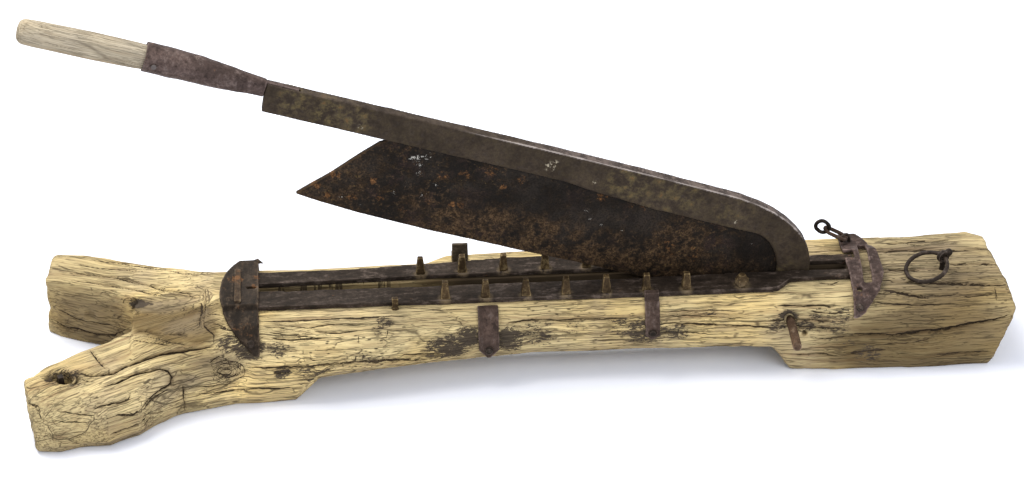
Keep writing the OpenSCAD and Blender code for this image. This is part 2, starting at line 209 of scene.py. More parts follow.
class Shader:
    """Builds one material's nodes."""

    def __init__(self, name):
        self.material = bpy.data.materials.new(name)
        self.material.use_nodes = True
        self.tree = self.material.node_tree
        self.tree.nodes.clear()
        self.out = self.tree.nodes.new("ShaderNodeOutputMaterial")
        self.surface = self.tree.nodes.new("ShaderNodeBsdfPrincipled")
        self.tree.links.new(self.surface.outputs[0], self.out.inputs[0])

    def node(self, kind, inputs=(), **settings):
        made = self.tree.nodes.new("ShaderNode" + kind)
        for key, value in settings.items():
            setattr(made, key, value)
        for key, value in dict(inputs).items():
            self.feed(made.inputs[key], value)
        return made

    def feed(self, socket, value):
        if isinstance(value, bpy.types.NodeSocket):
            self.tree.links.new(value, socket)
        else:
            socket.default_value = value

    def stretch(self, vector, scale, shift=(0, 0, 0)):
        return self.node("Mapping", {"Vector": vector, "Scale": scale, "Location": shift}).outputs[0]

    def place(self):
        return self.node("TexCoord").outputs["Object"]

    def kept(self, name, vector=False):
        made = self.node("Attribute", attribute_name=name)
        return made.outputs["Vector" if vector else "Fac"]

    def noise(self, vector, scale=1.0, detail=4.0, rough=0.55, twist=0.0):
        return self.node("TexNoise", {"Vector": vector, "Scale": scale, "Detail": detail,
                                      "Roughness": rough, "Distortion": twist}).outputs[0]

    def cells(self, vector, scale=1.0, feature="F1", output="Distance"):
        return self.node("TexVoronoi", {"Vector": vector, "Scale": scale}, feature=feature).outputs[output]

    def calc(self, operation, a, b=0.0, clamp=False):
        made = self.node("Math", {0: a, 1: b}, operation=operation)
        made.use_clamp = clamp
        return made.outputs[0]

    def times(self, *values):
        out = values[0]
        for value in values[1:]:
            out = self.calc("MULTIPLY", out, value)
        return out

    def largest(self, *values):
        out = values[0]
        for value in values[1:]:
            out = self.calc("MAXIMUM", out, value)
        return out

    def span(self, value, low, high, start=0.0, end=1.0):
        return self.node("MapRange", {"Value": value, "From Min": low, "From Max": high,
                                      "To Min": start, "To Max": end}, interpolation_type="SMOOTHSTEP").outputs[0]

    def mix(self, share, a, b, blend="MIX"):
        made = self.node("Mix", {0: share, 6: a, 7: b}, data_type="RGBA", blend_type=blend)
        return made.outputs[2]

    def ramp(self, value, stops):
        made = self.node("ValToRGB", {0: value})
        bar = made.color_ramp.elements
        while len(bar) < len(stops):
            bar.new(0.5)
        for element, (at, colour) in zip(bar, stops):
            element.position = at
            element.color = colour if len(colour) == 4 else (*colour, 1)
        return made.outputs[0]

    def finish(self, colour, rough, height=None, depth=0.001, metal=0.0, gloss=0.3):
        self.feed(self.surface.inputs["Base Color"], colour)
        self.feed(self.surface.inputs["Roughness"], rough)
        self.feed(self.surface.inputs["Metallic"], metal)
        self.surface.inputs["Specular IOR Level"].default_value = gloss
        if height is not None:
            bump = self.node("Bump", {"Height": height, "Distance": depth, "Strength": 1.0})
            self.tree.links.new(bump.outputs[0], self.surface.inputs["Normal"])
        return self.material


def rgb(c, k=1.0):
    return (min(c[0] * k, 1), min(c[1] * k, 1), min(c[2] * k, 1), 1)


CRACK_AND_SHADE_COLOUR = (0.030, 0.020, 0.012, 1)
SOOT = (0.028, 0.021, 0.016, 1)


def wood(name, pale, dark, grey, fine=1.0, hairs=1.0):
    """Weathered wood: fibres along the kept grain, drying cracks, worm marks, grey and sooty patches, with painted
    light and shade from the kept tone and painted shade from the kept cracks.
    """
    s = Shader(name)
    place = s.place()
    wander = s.node("TexNoise", {"Vector": place, "Scale": 22.0, "Detail": 3.0}).outputs["Color"]
    wander = s.node("VectorMath", {0: wander, 1: (0.5, 0.5, 0.5)}, operation="SUBTRACT").outputs[0]
    wander = s.node("VectorMath", {0: wander, 1: (0.0, 0.006, 0.006)}, operation="MULTIPLY").outputs[0]
    grain = s.node("VectorMath", {0: s.kept("grain", vector=True), 1: wander}, operation="ADD").outputs[0]
    fibre = s.noise(s.stretch(grain, (14, 430 * fine, 430 * fine)), 1, 5, 0.6)
    streak = s.noise(s.stretch(grain, (4.0, 60 * fine, 60 * fine)), 1, 5, 0.62)
    patch = s.noise(place, 10, 4, 0.6)
    warm = s.noise(s.stretch(place, (7, 15, 15), (3, 1, 2)), 1, 3, 0.55)
    colour = s.ramp(streak, [(0.30, rgb(dark, 1.5)), (0.43, rgb(pale, 0.80)), (0.55, rgb(pale, 1.0)),
                             (0.72, rgb(pale, 1.18))])
    colour = s.mix(s.span(warm, 0.45, 0.68, 0, 0.6), colour, rgb((pale[0] * 1.12, pale[1] * 1.02, pale[2] * 0.78)))
    colour = s.mix(s.span(fibre, 0.36, 0.60, 0.55, 0), colour, rgb(dark, 1.2))
    colour = s.mix(s.span(patch, 0.50, 0.70, 0, 0.5), colour, rgb(grey, 1.15))
    # Below 0 the kept tone darkens the wood and above 0 it lightens it: partly its own tone, partly painted shade and
    # painted light
    tone_light_and_shade = s.kept("tone_light_and_shade")
    colour = s.mix(s.calc("MULTIPLY", tone_light_and_shade, -1.0, clamp=True), colour, s.mix(1.0, colour, (0.31, 0.28, 0.245, 1),
                                                                            "MULTIPLY"))
    colour = s.mix(s.calc("MULTIPLY", tone_light_and_shade, 1.0, clamp=True), colour, s.mix(1.0, colour, (1.32, 1.30, 1.24, 1),
                                                                           "MULTIPLY"))
    colour = s.mix(s.times(s.kept("grey"), s.span(fibre, 0.3, 0.7, 0.9, 0.6)), colour, rgb(grey, 0.62))
    stain, worms = s.kept("stain"), s.kept("worms")
    eased = s.calc("ADD", s.times(stain, 0.075), s.times(worms, 0.03))
    eased = s.calc("ADD", eased, s.span(patch, 0.35, 0.65, -0.02, 0.02))
    dashes = []
    for along, across, thick, low, share in ((1.4, 46, 0.020, 0.49, 0.95), (3.8, 115, 0.033, 0.47, 0.85),
                                             (11, 300, 0.06, 0.44, 0.65)):
        net = s.cells(s.stretch(grain, (along, across * fine, across * fine), (0.3, along, 0.1)), 1,
                      "DISTANCE_TO_EDGE")
        gate = s.noise(s.stretch(grain, (along * 2.2, across * 0.4, across * 0.4), (1, 0, along)), 1, 3, 0.6)
        gate = s.span(s.calc("ADD", gate, eased), low, low + 0.09)
        rag = s.noise(s.stretch(grain, (90, 300, 300)), 1, 3, 0.6)
        dashes.append(s.times(s.span(net, 0.0, s.times(rag, thick * 2), 1, 0), gate, share))
    for along, across, low, share in ((6, 230, 0.70, 0.9), (17, 560, 0.64, 0.6)):
        lens = s.noise(s.stretch(grain, (along, across * fine, across * fine), (along, 0.7, 0)), 1, 2, 0.45)
        dashes.append(s.times(s.span(s.calc("ADD", lens, eased), low, low + 0.05), share))
    hair = s.times(s.largest(*dashes), hairs)
    sawn = s.times(s.span(s.noise(s.stretch(place, (210, 30, 18)), 1, 2, 0.5), 0.54, 0.59), s.kept("sawn"), 0.85)
    rays = s.times(s.span(s.noise(s.stretch(place, (60, 130, 40), (0, 0, 2)), 1, 5, 0.7), 0.55, 0.62), s.kept("butt"))
    holes = s.times(s.span(s.cells(s.stretch(grain, (85, 250, 250)), 1), 0.10, 0.26, 1, 0), worms, 0.9)
    ragged = s.span(s.noise(s.stretch(grain, (60, 240, 240)), 1, 4, 0.65), 0.32, 0.66, 0.25, 1.35)
    traced = s.calc("DIVIDE", s.calc("ABSOLUTE", s.kept("line")), s.calc("MAXIMUM", s.times(s.kept("line_width"),
                                                                                       ragged), 0.001))
    traced = s.times(s.span(traced, 0.75, 1.25, 1, 0), s.span(s.kept("line_width"), 0.02, 0.25))
    soft = s.times(s.span(s.calc("ABSOLUTE", s.kept("line")), 0.0, 4.5, 0.45, 0), s.span(s.kept("line_width"),
                                                                                    0.3, 1.2))
    colour = s.mix(soft, colour, rgb(dark, 0.8))
    # Near black in cracks, worm holes and saw cuts, and painted shade where the kept crack mask holds hollows, holes
    # and the deep slot
    deep = s.largest(s.times(hair, 0.88), s.kept("crack_and_shade"), traced, holes, sawn, s.times(rays, 0.8))
    colour = s.mix(s.calc("MINIMUM", deep, 0.97), colour, CRACK_AND_SHADE_COLOUR)
    blotch = s.noise(s.stretch(grain, (34, 105, 105)), 1, 7, 0.8)
    crumb = s.noise(s.stretch(grain, (190, 560, 560)), 1, 4, 0.7)
    soot = s.span(s.calc("ADD", s.calc("ADD", s.times(blotch, 0.52), s.times(crumb, 0.48)), s.times(stain, 0.155)),
                  0.58, 0.625)
    soot = s.times(soot, s.span(stain, 0.02, 0.2), 0.95)
    colour = s.mix(s.times(stain, s.span(blotch, 0.35, 0.6), 0.42), colour, rgb(dark, 0.62))
    colour = s.mix(soot, colour, s.mix(crumb, SOOT, (0.085, 0.064, 0.044, 1)))
    height = s.calc("SUBTRACT", s.times(fibre, 0.6), s.times(deep, 0.9))
    height = s.calc("ADD", height, s.times(streak, 0.5))
    return s.finish(colour, s.span(fibre, 0.3, 0.7, 0.95, 0.8), height, 0.0016, gloss=0.15)


def iron(name, base, dust, rust, rust_share=0.3, rough=0.6, metal=0.0, bump=0.0007, edge=0.7, gloss=0.08,
         drawn=(1, 1, 1)):
    """Forged iron: uneven patina, dusty high spots, rust, dusty collars and rubbed edges lightened partly as painted
    highlights.
    """
    s = Shader(name)
    place = s.place()
    cloud = s.noise(s.stretch(place, drawn), 22, 6, 0.62)
    pits = s.noise(place, 240, 5, 0.7)
    grit = s.noise(place, 900, 3, 0.6)
    mottle = s.noise(s.stretch(place, drawn), 110, 6, 0.74)
    colour = s.ramp(cloud, [(0.3, rgb(base, 0.55)), (0.5, rgb(base)), (0.68, rgb(base, 1.7))])
    colour = s.mix(s.span(mottle, 0.50, 0.66, 0, 0.8), colour, rgb(dust, 0.9))
    colour = s.mix(s.span(mottle, 0.36, 0.47, 0.75, 0), colour, rgb(base, 0.35))
    colour = s.mix(s.span(pits, 0.40, 0.60, 0.5, 0), colour, rgb(base, 0.4))
    spots = s.calc("ADD", s.calc("MULTIPLY", s.noise(place, 48, 7, 0.75), 0.6), s.calc("MULTIPLY", pits, 0.4))
    spots = s.calc("ADD", spots, s.times(s.kept("rusty"), s.span(mottle, 0.35, 0.6, 0.04, 0.2)))
    mask = s.span(spots, 0.66 - 0.3 * rust_share, 0.77 - 0.3 * rust_share)
    colour = s.mix(s.times(mask, 0.75), colour, s.mix(pits, rgb(rust, 0.5), rgb(rust, 1.5)))
    collar = s.times(s.kept("dusty"), s.span(s.noise(place, 130, 4, 0.6), 0.36, 0.56))
    colour = s.mix(s.times(collar, 0.85), colour, (0.19, 0.138, 0.078, 1))
    # Ridges lightened with the dust colour: partly rubbed wear, partly painted highlight
    rub_and_highlight = s.times(s.span(s.kept("wear_highlight_and_shade"), 0.03, 0.2, 0, edge), s.span(s.noise(place, 90, 4, 0.6), 0.36, 0.52))
    colour = s.mix(rub_and_highlight, colour, rgb(dust, 1.9))
    groove = s.span(s.kept("wear_highlight_and_shade"), -0.2, -0.03, 0.8, 0)
    colour = s.mix(groove, colour, rgb(base, 0.3))
    height = s.calc("ADD", s.calc("MULTIPLY", pits, 0.7), s.calc("MULTIPLY", grit, 0.25))
    shine = s.calc("ADD", s.span(cloud, 0.35, 0.65, rough + 0.12, rough - 0.08), s.calc("MULTIPLY", mask, 0.25),
                   clamp=True)
    return s.finish(colour, shine, height, bump, metal, gloss=gloss)


def blade_iron(black, brown, rust):
    """Blackened blade: mottled brown and golden grains lower down, ringed rust spots and pale scratches."""
    s = Shader("blade_iron")
    place = s.place()
    cloud = s.noise(place, 14, 6, 0.6)
    blots = s.noise(place, 75, 7, 0.72)
    fine = s.noise(place, 210, 6, 0.72)
    pits = s.noise(place, 480, 4, 0.7)
    colour = s.ramp(cloud, [(0.36, rgb(black, 0.5)), (0.5, rgb(black)), (0.62, rgb(black, 2.0))])
    calm = s.calc("SUBTRACT", 1.0, s.kept("black"))
    colour = s.mix(s.times(s.span(s.noise(place, 40, 5, 0.7), 0.50, 0.62, 0, 0.7), calm), colour,
                   (0.036, 0.021, 0.017, 1))
    colour = s.mix(s.times(s.span(blots, 0.50, 0.64, 0, 0.7), calm), colour, rgb(brown, 0.75))
    colour = s.mix(s.times(s.span(fine, 0.53, 0.66, 0, 0.6), calm), colour, rgb(brown, 1.7))
    belt = s.times(s.kept("belt"), s.span(blots, 0.36, 0.58))
    colour = s.mix(belt, colour, s.mix(s.span(fine, 0.38, 0.62), rgb(brown, 0.5), rgb(brown, 1.7)))
    grains = s.times(s.span(s.cells(place, 300), 0.10, 0.36, 1, 0), s.span(fine, 0.45, 0.58))
    gold = s.times(grains, s.span(blots, 0.44, 0.58), s.calc(
        "ADD", s.times(s.kept("gold"), 0.75), s.calc("ADD", s.times(s.kept("belt"), 0.3), 0.12)))
    colour = s.mix(gold, colour, s.mix(fine, (0.16, 0.085, 0.022, 1), (0.14, 0.115, 0.045, 1)))
    crust = s.calc("ADD", s.noise(place, 190, 7, 0.78), s.times(s.kept("spot"), 0.16))
    crust = s.times(s.span(crust, 0.57, 0.68), s.span(s.kept("spot"), 0.0, 0.25), 0.9)
    colour = s.mix(crust, colour, s.mix(s.span(fine, 0.36, 0.64), rgb(rust, 0.3), rgb(rust, 1.3)))
    colour = s.mix(s.span(s.noise(place, 33, 6, 0.68), 0.50, 0.62, 0, 0.55), colour, rgb(black, 0.8))
    colour = s.mix(s.span(pits, 0.38, 0.56, 0.65, 0), colour, rgb(black, 0.35))
    flash = s.span(s.calc("ADD", s.noise(place, 560, 3, 0.65), s.times(s.kept("speck"), 0.13)), 0.72, 0.76)
    colour = s.mix(s.times(flash, s.span(s.kept("speck"), 0.0, 0.2)), colour, (0.42, 0.40, 0.35, 1))
    # Edges lightened with the brown: partly wear, partly painted highlight
    colour = s.mix(s.span(s.kept("wear_highlight_and_shade"), 0.02, 0.15, 0, 0.55), colour, rgb(brown, 1.7))
    height = s.calc("ADD", s.calc("MULTIPLY", blots, 0.6), s.calc("MULTIPLY", pits, 0.5))
    return s.finish(colour, s.span(blots, 0.4, 0.65, 0.5, 0.75), height, 0.0010, 0.0, gloss=0.07)


def bar_iron(base, olive, top, rust):
    """Forged back of the knife: olive-brown side, greyer top and a painted highlight along the upper front edge."""
    s = Shader("bar_iron")
    place = s.place()
    cloud = s.noise(place, 18, 6, 0.6)
    blots = s.noise(place, 85, 6, 0.7)
    pits = s.noise(place, 300, 5, 0.7)
    colour = s.ramp(cloud, [(0.34, rgb(base, 0.7)), (0.5, rgb(base)), (0.66, rgb(base, 1.35))])
    colour = s.mix(s.times(s.span(blots, 0.44, 0.62), s.calc("ADD", s.kept("olive"), 0.15)), colour, rgb(olive))
    colour = s.mix(s.span(blots, 0.36, 0.48, 0.6, 0), colour, rgb(base, 0.45))
    colour = s.mix(s.span(s.noise(place, 150, 5, 0.72), 0.52, 0.66, 0, 0.45), colour, rgb(top, 0.45))
    colour = s.mix(s.span(pits, 0.40, 0.60, 0.4, 0), colour, rgb(base, 0.5))
    colour = s.mix(s.times(s.span(blots, 0.58, 0.66), s.kept("olive"), 0.6), colour, rgb(rust, 0.8))
    face = s.mix(s.span(blots, 0.40, 0.62), rgb(top, 0.5), rgb(top, 1.35))
    face = s.mix(s.span(s.noise(place, 260, 5, 0.7), 0.54, 0.64, 0, 0.7), face, rgb(top, 2.2))
    colour = s.mix(s.times(s.kept("top"), 0.9), colour, face)
    flash = s.times(s.kept("speck"), s.span(s.noise(place, 420, 3, 0.6), 0.52, 0.60))
    colour = s.mix(flash, colour, (0.36, 0.31, 0.22, 1))
    # Painted highlight along the upper front ridge
    colour = s.mix(s.times(s.kept("ridge_highlight"), s.span(s.noise(place, 60, 4, 0.6), 0.26, 0.42)), colour,
                   (0.52, 0.45, 0.40, 1))
    colour = s.mix(s.span(s.kept("wear_highlight_and_shade"), -0.2, -0.03, 0.7, 0), colour, rgb(base, 0.3))
    height = s.calc("ADD", s.calc("MULTIPLY", blots, 0.5), s.calc("MULTIPLY", pits, 0.5))
    return s.finish(colour, s.span(cloud, 0.35, 0.65, 0.66, 0.5), height, 0.0008, 0.0, gloss=0.08)


class TimberSettings(bpy.types.PropertyGroup):
    pale: bpy.props.FloatVectorProperty(name="Pale wood", description="Colour of the clean hewn wood",
                                        subtype="COLOR", size=3, default=(0.67, 0.535, 0.270))
    dark: bpy.props.FloatVectorProperty(name="Dark grain", description="Colour between the fibres",
                                        subtype="COLOR", size=3, default=(0.23, 0.155, 0.078))
    grey: bpy.props.FloatVectorProperty(name="Weathered grey", description="Colour where rain has greyed it",
                                        subtype="COLOR", size=3, default=(0.34, 0.265, 0.165))
    net: bpy.props.FloatProperty(name="Net size", description="Size of the squares that the bed is made of",
                                 subtype="DISTANCE", default=1.7 * MM)
    hewn: bpy.props.FloatProperty(name="Hewn waves", description="Height of the waves that the axe left",
                                  subtype="DISTANCE", default=1.8 * MM)


class IronSettings(bpy.types.PropertyGroup):
    base: bpy.props.FloatVectorProperty(name="Iron", description="Colour of the dark patina",
                                        subtype="COLOR", size=3, default=(0.032, 0.0228, 0.0162))
    dust: bpy.props.FloatVectorProperty(name="Dust", description="Colour of dusty and rubbed spots",
                                        subtype="COLOR", size=3, default=(0.130, 0.098, 0.078))
    rust: bpy.props.FloatVectorProperty(name="Rust", description="Colour of the rust",
                                        subtype="COLOR", size=3, default=(0.15, 0.070, 0.028))
    net: bpy.props.FloatProperty(name="Net size", description="Size of the squares that the irons are made of",
                                 subtype="DISTANCE", default=1.3 * MM)
    forged: bpy.props.FloatProperty(name="Hammer marks", description="Height of the hammer marks",
                                    subtype="DISTANCE", default=0.5 * MM)


class KnifeSettings(bpy.types.PropertyGroup):
    black: bpy.props.FloatVectorProperty(name="Blade", description="Colour of the blackened blade",
                                         subtype="COLOR", size=3, default=(0.013, 0.0100, 0.0075))
    brown: bpy.props.FloatVectorProperty(name="Blade brown", description="Colour of the mottled brown on the blade",
                                         subtype="COLOR", size=3, default=(0.058, 0.035, 0.018))
    rust: bpy.props.FloatVectorProperty(name="Blade rust", description="Colour of the rust spots on the blade",
                                        subtype="COLOR", size=3, default=(0.19, 0.088, 0.032))
    bar: bpy.props.FloatVectorProperty(name="Back bar", description="Colour of the forged back",
                                       subtype="COLOR", size=3, default=(0.045, 0.032, 0.021))
    olive: bpy.props.FloatVectorProperty(name="Back bar olive", description="Colour of its olive patches",
                                         subtype="COLOR", size=3, default=(0.115, 0.088, 0.040))


class StageSettings(bpy.types.PropertyGroup):
    floor: bpy.props.FloatVectorProperty(name="Floor", description="Colour of the floor", subtype="COLOR",
                                         size=3, default=(0.925, 0.945, 0.99))
    key: bpy.props.FloatProperty(name="Key light", description="Strength of the main light", subtype="POWER",
                                 default=100)
    lens: bpy.props.FloatProperty(name="Lens", description="Focal length of the camera", subtype="DISTANCE_CAMERA",
                                  default=105.47)


def settings():
    return bpy.context.scene.chopper


# Drying cracks that can be told apart: half width and depth in mm, then the points along each one
CRACKS = [
    (1.3, 6, [(-522, -105, 74), (-507, -104, 74), (-487, -100, 73), (-472, -90, 76), (-452, -81, 78),
    (-433, -75, 80), (-411, -70, 79), (-394, -66, 78), (-370, -61, 78)]),
    (1.1, 5, [(-466, -30, 83), (-452, -27, 84), (-439, -35, 85), (-420, -46, 88), (-400, -49, 88)]),
    (0.8, 3, [(-514, -61, 76), (-506, -77, 77), (-496, -94, 75)]),
    (1.0, 4, [(-548, 99, 83), (-522, 94, 82), (-492, 86, 80), (-470, 76, 80), (-447, 61, 84),
    (-430, 48, 86), (-411, 40, 89), (-389, 24, 93)]),
    (0.8, 3, [(-544, 81, 82), (-514, 76, 81), (-488, 67, 80), (-458, 52, 84), (-431, 35, 86)]),
    (0.6, 2, [(-524, 125, 82), (-490, 118, 80), (-452, 102, 82), (-414, 81, 88), (-386, 66, 94)]),
    (0.5, 2, [(-538, 115, 82), (-508, 107, 81), (-478, 102, 80), (-452, 90, 84)]),
    (1.0, 4, [(-499, -118, 67), (-482, -111, 67), (-464, -101, 70), (-447, -94, 70), (-433, -90, 70),
           (-423, -88, 64), (-419, -89, 57), (-422, -93, 50), (-434, -102, 47), (-448, -114, 43),
    (-466, -127, 36), (-476, -130, 41)]),
    (0.8, 3, [(-509, -135, 50), (-496, -132, 52), (-479, -126, 51), (-470, -122, 51), (-468, -118, 56)]),
    (0.9, 3, [(-501, -140, 37), (-483, -135, 39), (-466, -127, 35), (-452, -119, 38), (-439, -108, 43),
    (-423, -96, 46)]),
    (0.8, 3, [(-495, -142, 18), (-474, -133, 19), (-458, -125, 21), (-444, -114, 27)]),
    (0.6, 2, [(-455, -124, 15), (-444, -115, 20)]),
    (0.9, 3, [(-408, -87, 44), (-409, -89, 29), (-409, -84, 5)]),
    (0.7, 3, [(-403, -87, 38), (-387, -83, 37), (-369, -78, 34), (-342, -73, 34)]),
    (0.5, 2, [(-398, -86, 29), (-378, -81, 26), (-361, -77, 24), (-335, -74, 23)]),
    (0.6, 2, [(-465, -49, 83), (-447, -57, 84), (-420, -64, 83)]),
    (0.5, 2, [(-475, -33, 79), (-447, -46, 84), (-422, -59, 85), (-397, -63, 81)]),
    (0.9, 3, [(-381, 35, 95), (-382, -8, 94), (-382, -38, 93), (-370, -50, 86), (-370, -59, 79)]),
    (0.7, 2, [(-387, 14, 94), (-387, -13, 93), (-387, -36, 91)]),
    (0.5, 2, [(-378, 0, 95), (-363, -1, 97)]),
    (0.6, 2, [(-377, -18, 96), (-359, -26, 97)]),
    (0.6, 2, [(-370, -36, 94), (-354, -44, 91)]),
    (0.6, 2, [(-363, -43, 91), (-345, -47, 89)]),
    (0.6, 2, [(-359, -51, 86), (-341, -53, 84)]),
    (0.9, 3, [(-573, 80, 21), (-560, 74, 15), (-541, 65, 18), (-518, 57, 16), (-495, 50, 20),
    (-479, 41, 35)]),
    (0.6, 2, [(-565, 76, 39), (-543, 67, 33), (-517, 57, 32), (-490, 47, 35)]),
    (0.6, 2, [(-585, -136, 67), (-574, -142, 60), (-568, -146, 47)]),
    (0.5, 2, [(-581, -138, 64), (-571, -141, 61), (-570, -145, 53)]),
    (0.8, 2, [(-531, -101, 76), (-517, -103, 74), (-507, -104, 74)]),
    (0.5, 2, [(-539, -98, 65), (-520, -111, 72), (-506, -113, 70)]),
    (0.5, 2, [(-552, -143, 55), (-527, -137, 45), (-507, -138, 42)]),
    (0.5, 2, [(-560, -147, 45), (-536, -143, 39), (-511, -140, 37)]),
    (0.6, 2, [(-354, -61, 77), (-340, -63, 71), (-329, -63, 73)]),
    (0.7, 2, [(-370, -75, 52), (-359, -75, 46), (-345, -72, 47), (-341, -71, 52)]),
    (0.6, 2, [(-376, -73, 63), (-365, -68, 68), (-355, -67, 64), (-352, -69, 56), (-363, -72, 55)]),
    (1.4, 6, [(385, -54, 51), (408, -54, 50), (440, -55, 47), (459, -55, 51), (476, -55, 53),
    (502, -55, 54), (525, -53, 58), (555, -52, 62), (582, -50, 68)]),
    (0.7, 2, [(348, -53, 46), (369, -54, 47), (385, -54, 50)]),
    (0.7, 2, [(429, -55, 36), (448, -56, 37), (467, -57, 39), (495, -56, 46)]),
    (2.4, 6, [(432, -7, 97), (452, -11, 97), (470, -14, 97), (511, -19, 97), (547, -24, 97), (583, -28, 96)]),
    (1.7, 4, [(428, -27, 97), (454, -36, 97), (482, -46, 96)]),
    (1.7, 4, [(442, 15, 97), (462, 12, 97), (480, 9, 97)]),
    (1.9, 4, [(519, 22, 97), (547, 22, 97), (580, 16, 96)]),
    (1.4, 3, [(430, 52, 97), (470, 55, 97), (520, 50, 97), (575, 52, 96)]),
    (1.3, 3, [(450, 70, 97), (490, 74, 97), (530, 72, 97)]),
    (0.5, 2, [(474, 69, 97), (485, 63, 97), (498, 66, 97)]),
    (0.5, 2, [(477, -37, 95), (496, -39, 93), (516, -39, 94)]),
    (0.5, 2, [(525, -42, 92), (545, -41, 92), (560, -40, 93)]),
    (0.7, 2, [(406, -40, 91), (427, -42, 87), (458, -45, 85), (485, -46, 85), (515, -46, 85)]),
    (0.5, 2, [(564, -32, 97), (563, -43, 90), (564, -44, 87)]),
    (0.7, 2, [(489, -57, 18), (528, -56, 20), (558, -55, 20)]),
    (0.8, 3, [(301, -39, 88), (330, -40, 87), (355, -41, 87), (377, -43, 86)]),
    (0.7, 2, [(340, -44, 81), (368, -47, 79), (384, -47, 80)]),
    (0.8, 3, [(291, -48, 74), (311, -46, 71), (338, -47, 71), (365, -50, 69)]),
    (0.8, 3, [(354, -7, 97), (369, -12, 97), (380, -6, 97)]),
    (0.8, 3, [(320, -52, 23), (351, -54, 25), (374, -56, 23)]),
    (0.5, 2, [(413, -29, 97), (428, -34, 95), (444, -33, 96)]),
    (1.0, 4, [(-311, -37, 94), (-291, -37, 93), (-258, -38, 94), (-225, -37, 94), (-199, -37, 94),
    (-169, -36, 94)]),
    (0.8, 3, [(-302, -55, 82), (-282, -57, 80), (-259, -59, 82), (-234, -60, 83)]),
    (0.6, 2, [(-305, -50, 86), (-275, -53, 83), (-249, -59, 84)]),
    (0.6, 2, [(-252, -52, 88), (-226, -55, 86), (-199, -52, 87)]),
    (0.5, 2, [(-282, -43, 91), (-259, -48, 90), (-234, -45, 92), (-192, -46, 90)]),
    (0.9, 3, [(-335, -70, 53), (-310, -71, 51), (-277, -70, 50), (-244, -73, 53), (-211, -70, 51),
    (-178, -66, 50), (-144, -62, 47), (-117, -57, 43)]),
    (0.9, 3, [(-377, -81, 27), (-353, -75, 23), (-328, -74, 24), (-303, -74, 23), (-278, -73, 23)]),
    (0.5, 1, [(-204, -68, 60), (-204, -69, 51)]),
    (0.5, 1, [(-195, -67, 61), (-196, -68, 53)]),
    (0.5, 1, [(-200, -58, 81), (-200, -62, 74)]),
    (0.5, 1, [(-165, -52, 85), (-166, -57, 77)]),
    (0.5, 2, [(-311, -44, 91), (-295, -45, 90), (-282, -47, 88)]),
    (0.9, 3, [(-23, -41, 80), (6, -39, 80), (36, -40, 79), (82, -40, 79), (119, -40, 78), (138, -40, 79)]),
    (0.7, 2, [(-221, -37, 94), (-192, -39, 94), (-160, -36, 94), (-136, -39, 92)]),
    (0.7, 2, [(-150, -62, 53), (-121, -58, 51), (-97, -55, 47)]),
    (0.7, 2, [(-223, -71, 54), (-187, -67, 49), (-150, -63, 47), (-121, -55, 40)]),
    (0.5, 2, [(-177, -25, 97), (-141, -25, 97), (-100, -30, 95), (-61, -29, 95)]),
    (0.9, 3, [(161, -42, 71), (192, -44, 70), (223, -46, 68), (259, -48, 66), (312, -48, 64)]),
    (0.8, 3, [(309, -48, 64), (346, -50, 61), (383, -52, 59)]),
    (0.5, 2, [(170, -38, 86), (213, -39, 86), (253, -42, 84)]),
    (0.5, 2, [(158, -40, 79), (201, -41, 80), (241, -44, 76), (272, -45, 77)]),
    (0.6, 2, [(158, -44, 57), (192, -45, 58), (229, -47, 56)]),
    (2.2, 4, [(-301, -74, 46), (-292, -74, 45), (-282, -74, 45)]),
    (1.5, 3, [(388, -55, 26), (410, -55, 26), (432, -55, 28)]),
]

# Rings of the knot in the near side
for r in (4, 8, 12, 16):
    turn = [i * math.pi / 9 + r for i in range(17)]
    CRACKS.append((0.55, 2, [(-357 + 1.35 * r * math.cos(a), -72, 51 + 0.85 * r * math.sin(a)) for a in turn]))

# Spots given as x, y, z and radius in mm, with a strength from 0 to 1 where there is a fifth number
# Dark stains and soot beside the irons; the spots round the pivot pin's root are partly painted shade where the pin
# enters the wood
STAINS = [(-69, -50, 74, 14), (-44, -50, 66, 20), (-22, -50, 60, 26), (12, -46, 66, 24, 0.7), (-96, -58, 56, 28, 0.8),
          (54, -46, 68, 16, 0.5), (115, -46, 70, 20, 0.6), (144, -46, 62, 26, 0.9), (180, -48, 60, 18, 0.6),
          (301, -48, 68, 14, 0.7), (354, -50, 68, 20, 0.5), (374, -52, 64, 16, 0.6), (380, -56, 40, 14, 0.3),
          (-292, -72, 43, 10), (-328, -64, 74, 20, 0.9), (-352, -72, 50, 20, 0.15), (-296, -64, 72, 14, 0.7),
          (-250, -70, 40, 24, 0.7), (-190, -62, 52, 18, 0.5), (-168, -44, 92, 10, 0.8), (-176, -50, 84, 10, 0.6),
          (412, -56, 24, 18, 0.5), (381, -49, 77, 12, 0.6), (-346, -60, 80, 17, 1), (-70, -48, 63, 15, 1.2),
          (-24, -45, 62, 18, 1.2), (-90, -52, 54, 18, 1.0), (-466, 31, 75, 15, 1.6), (314, -47, 76, 11, 1.4), (334, -48, 64, 14, 0.8), (-466, 27, 80, 14), (220, -44, 84, 10, 0.5),
          (-452, 30, 84, 10, 0.7), (-545, -108, 78, 22, 0.8), (316.6, -30, 70, 12), (-389, 0, 93, 8, 0.6)]
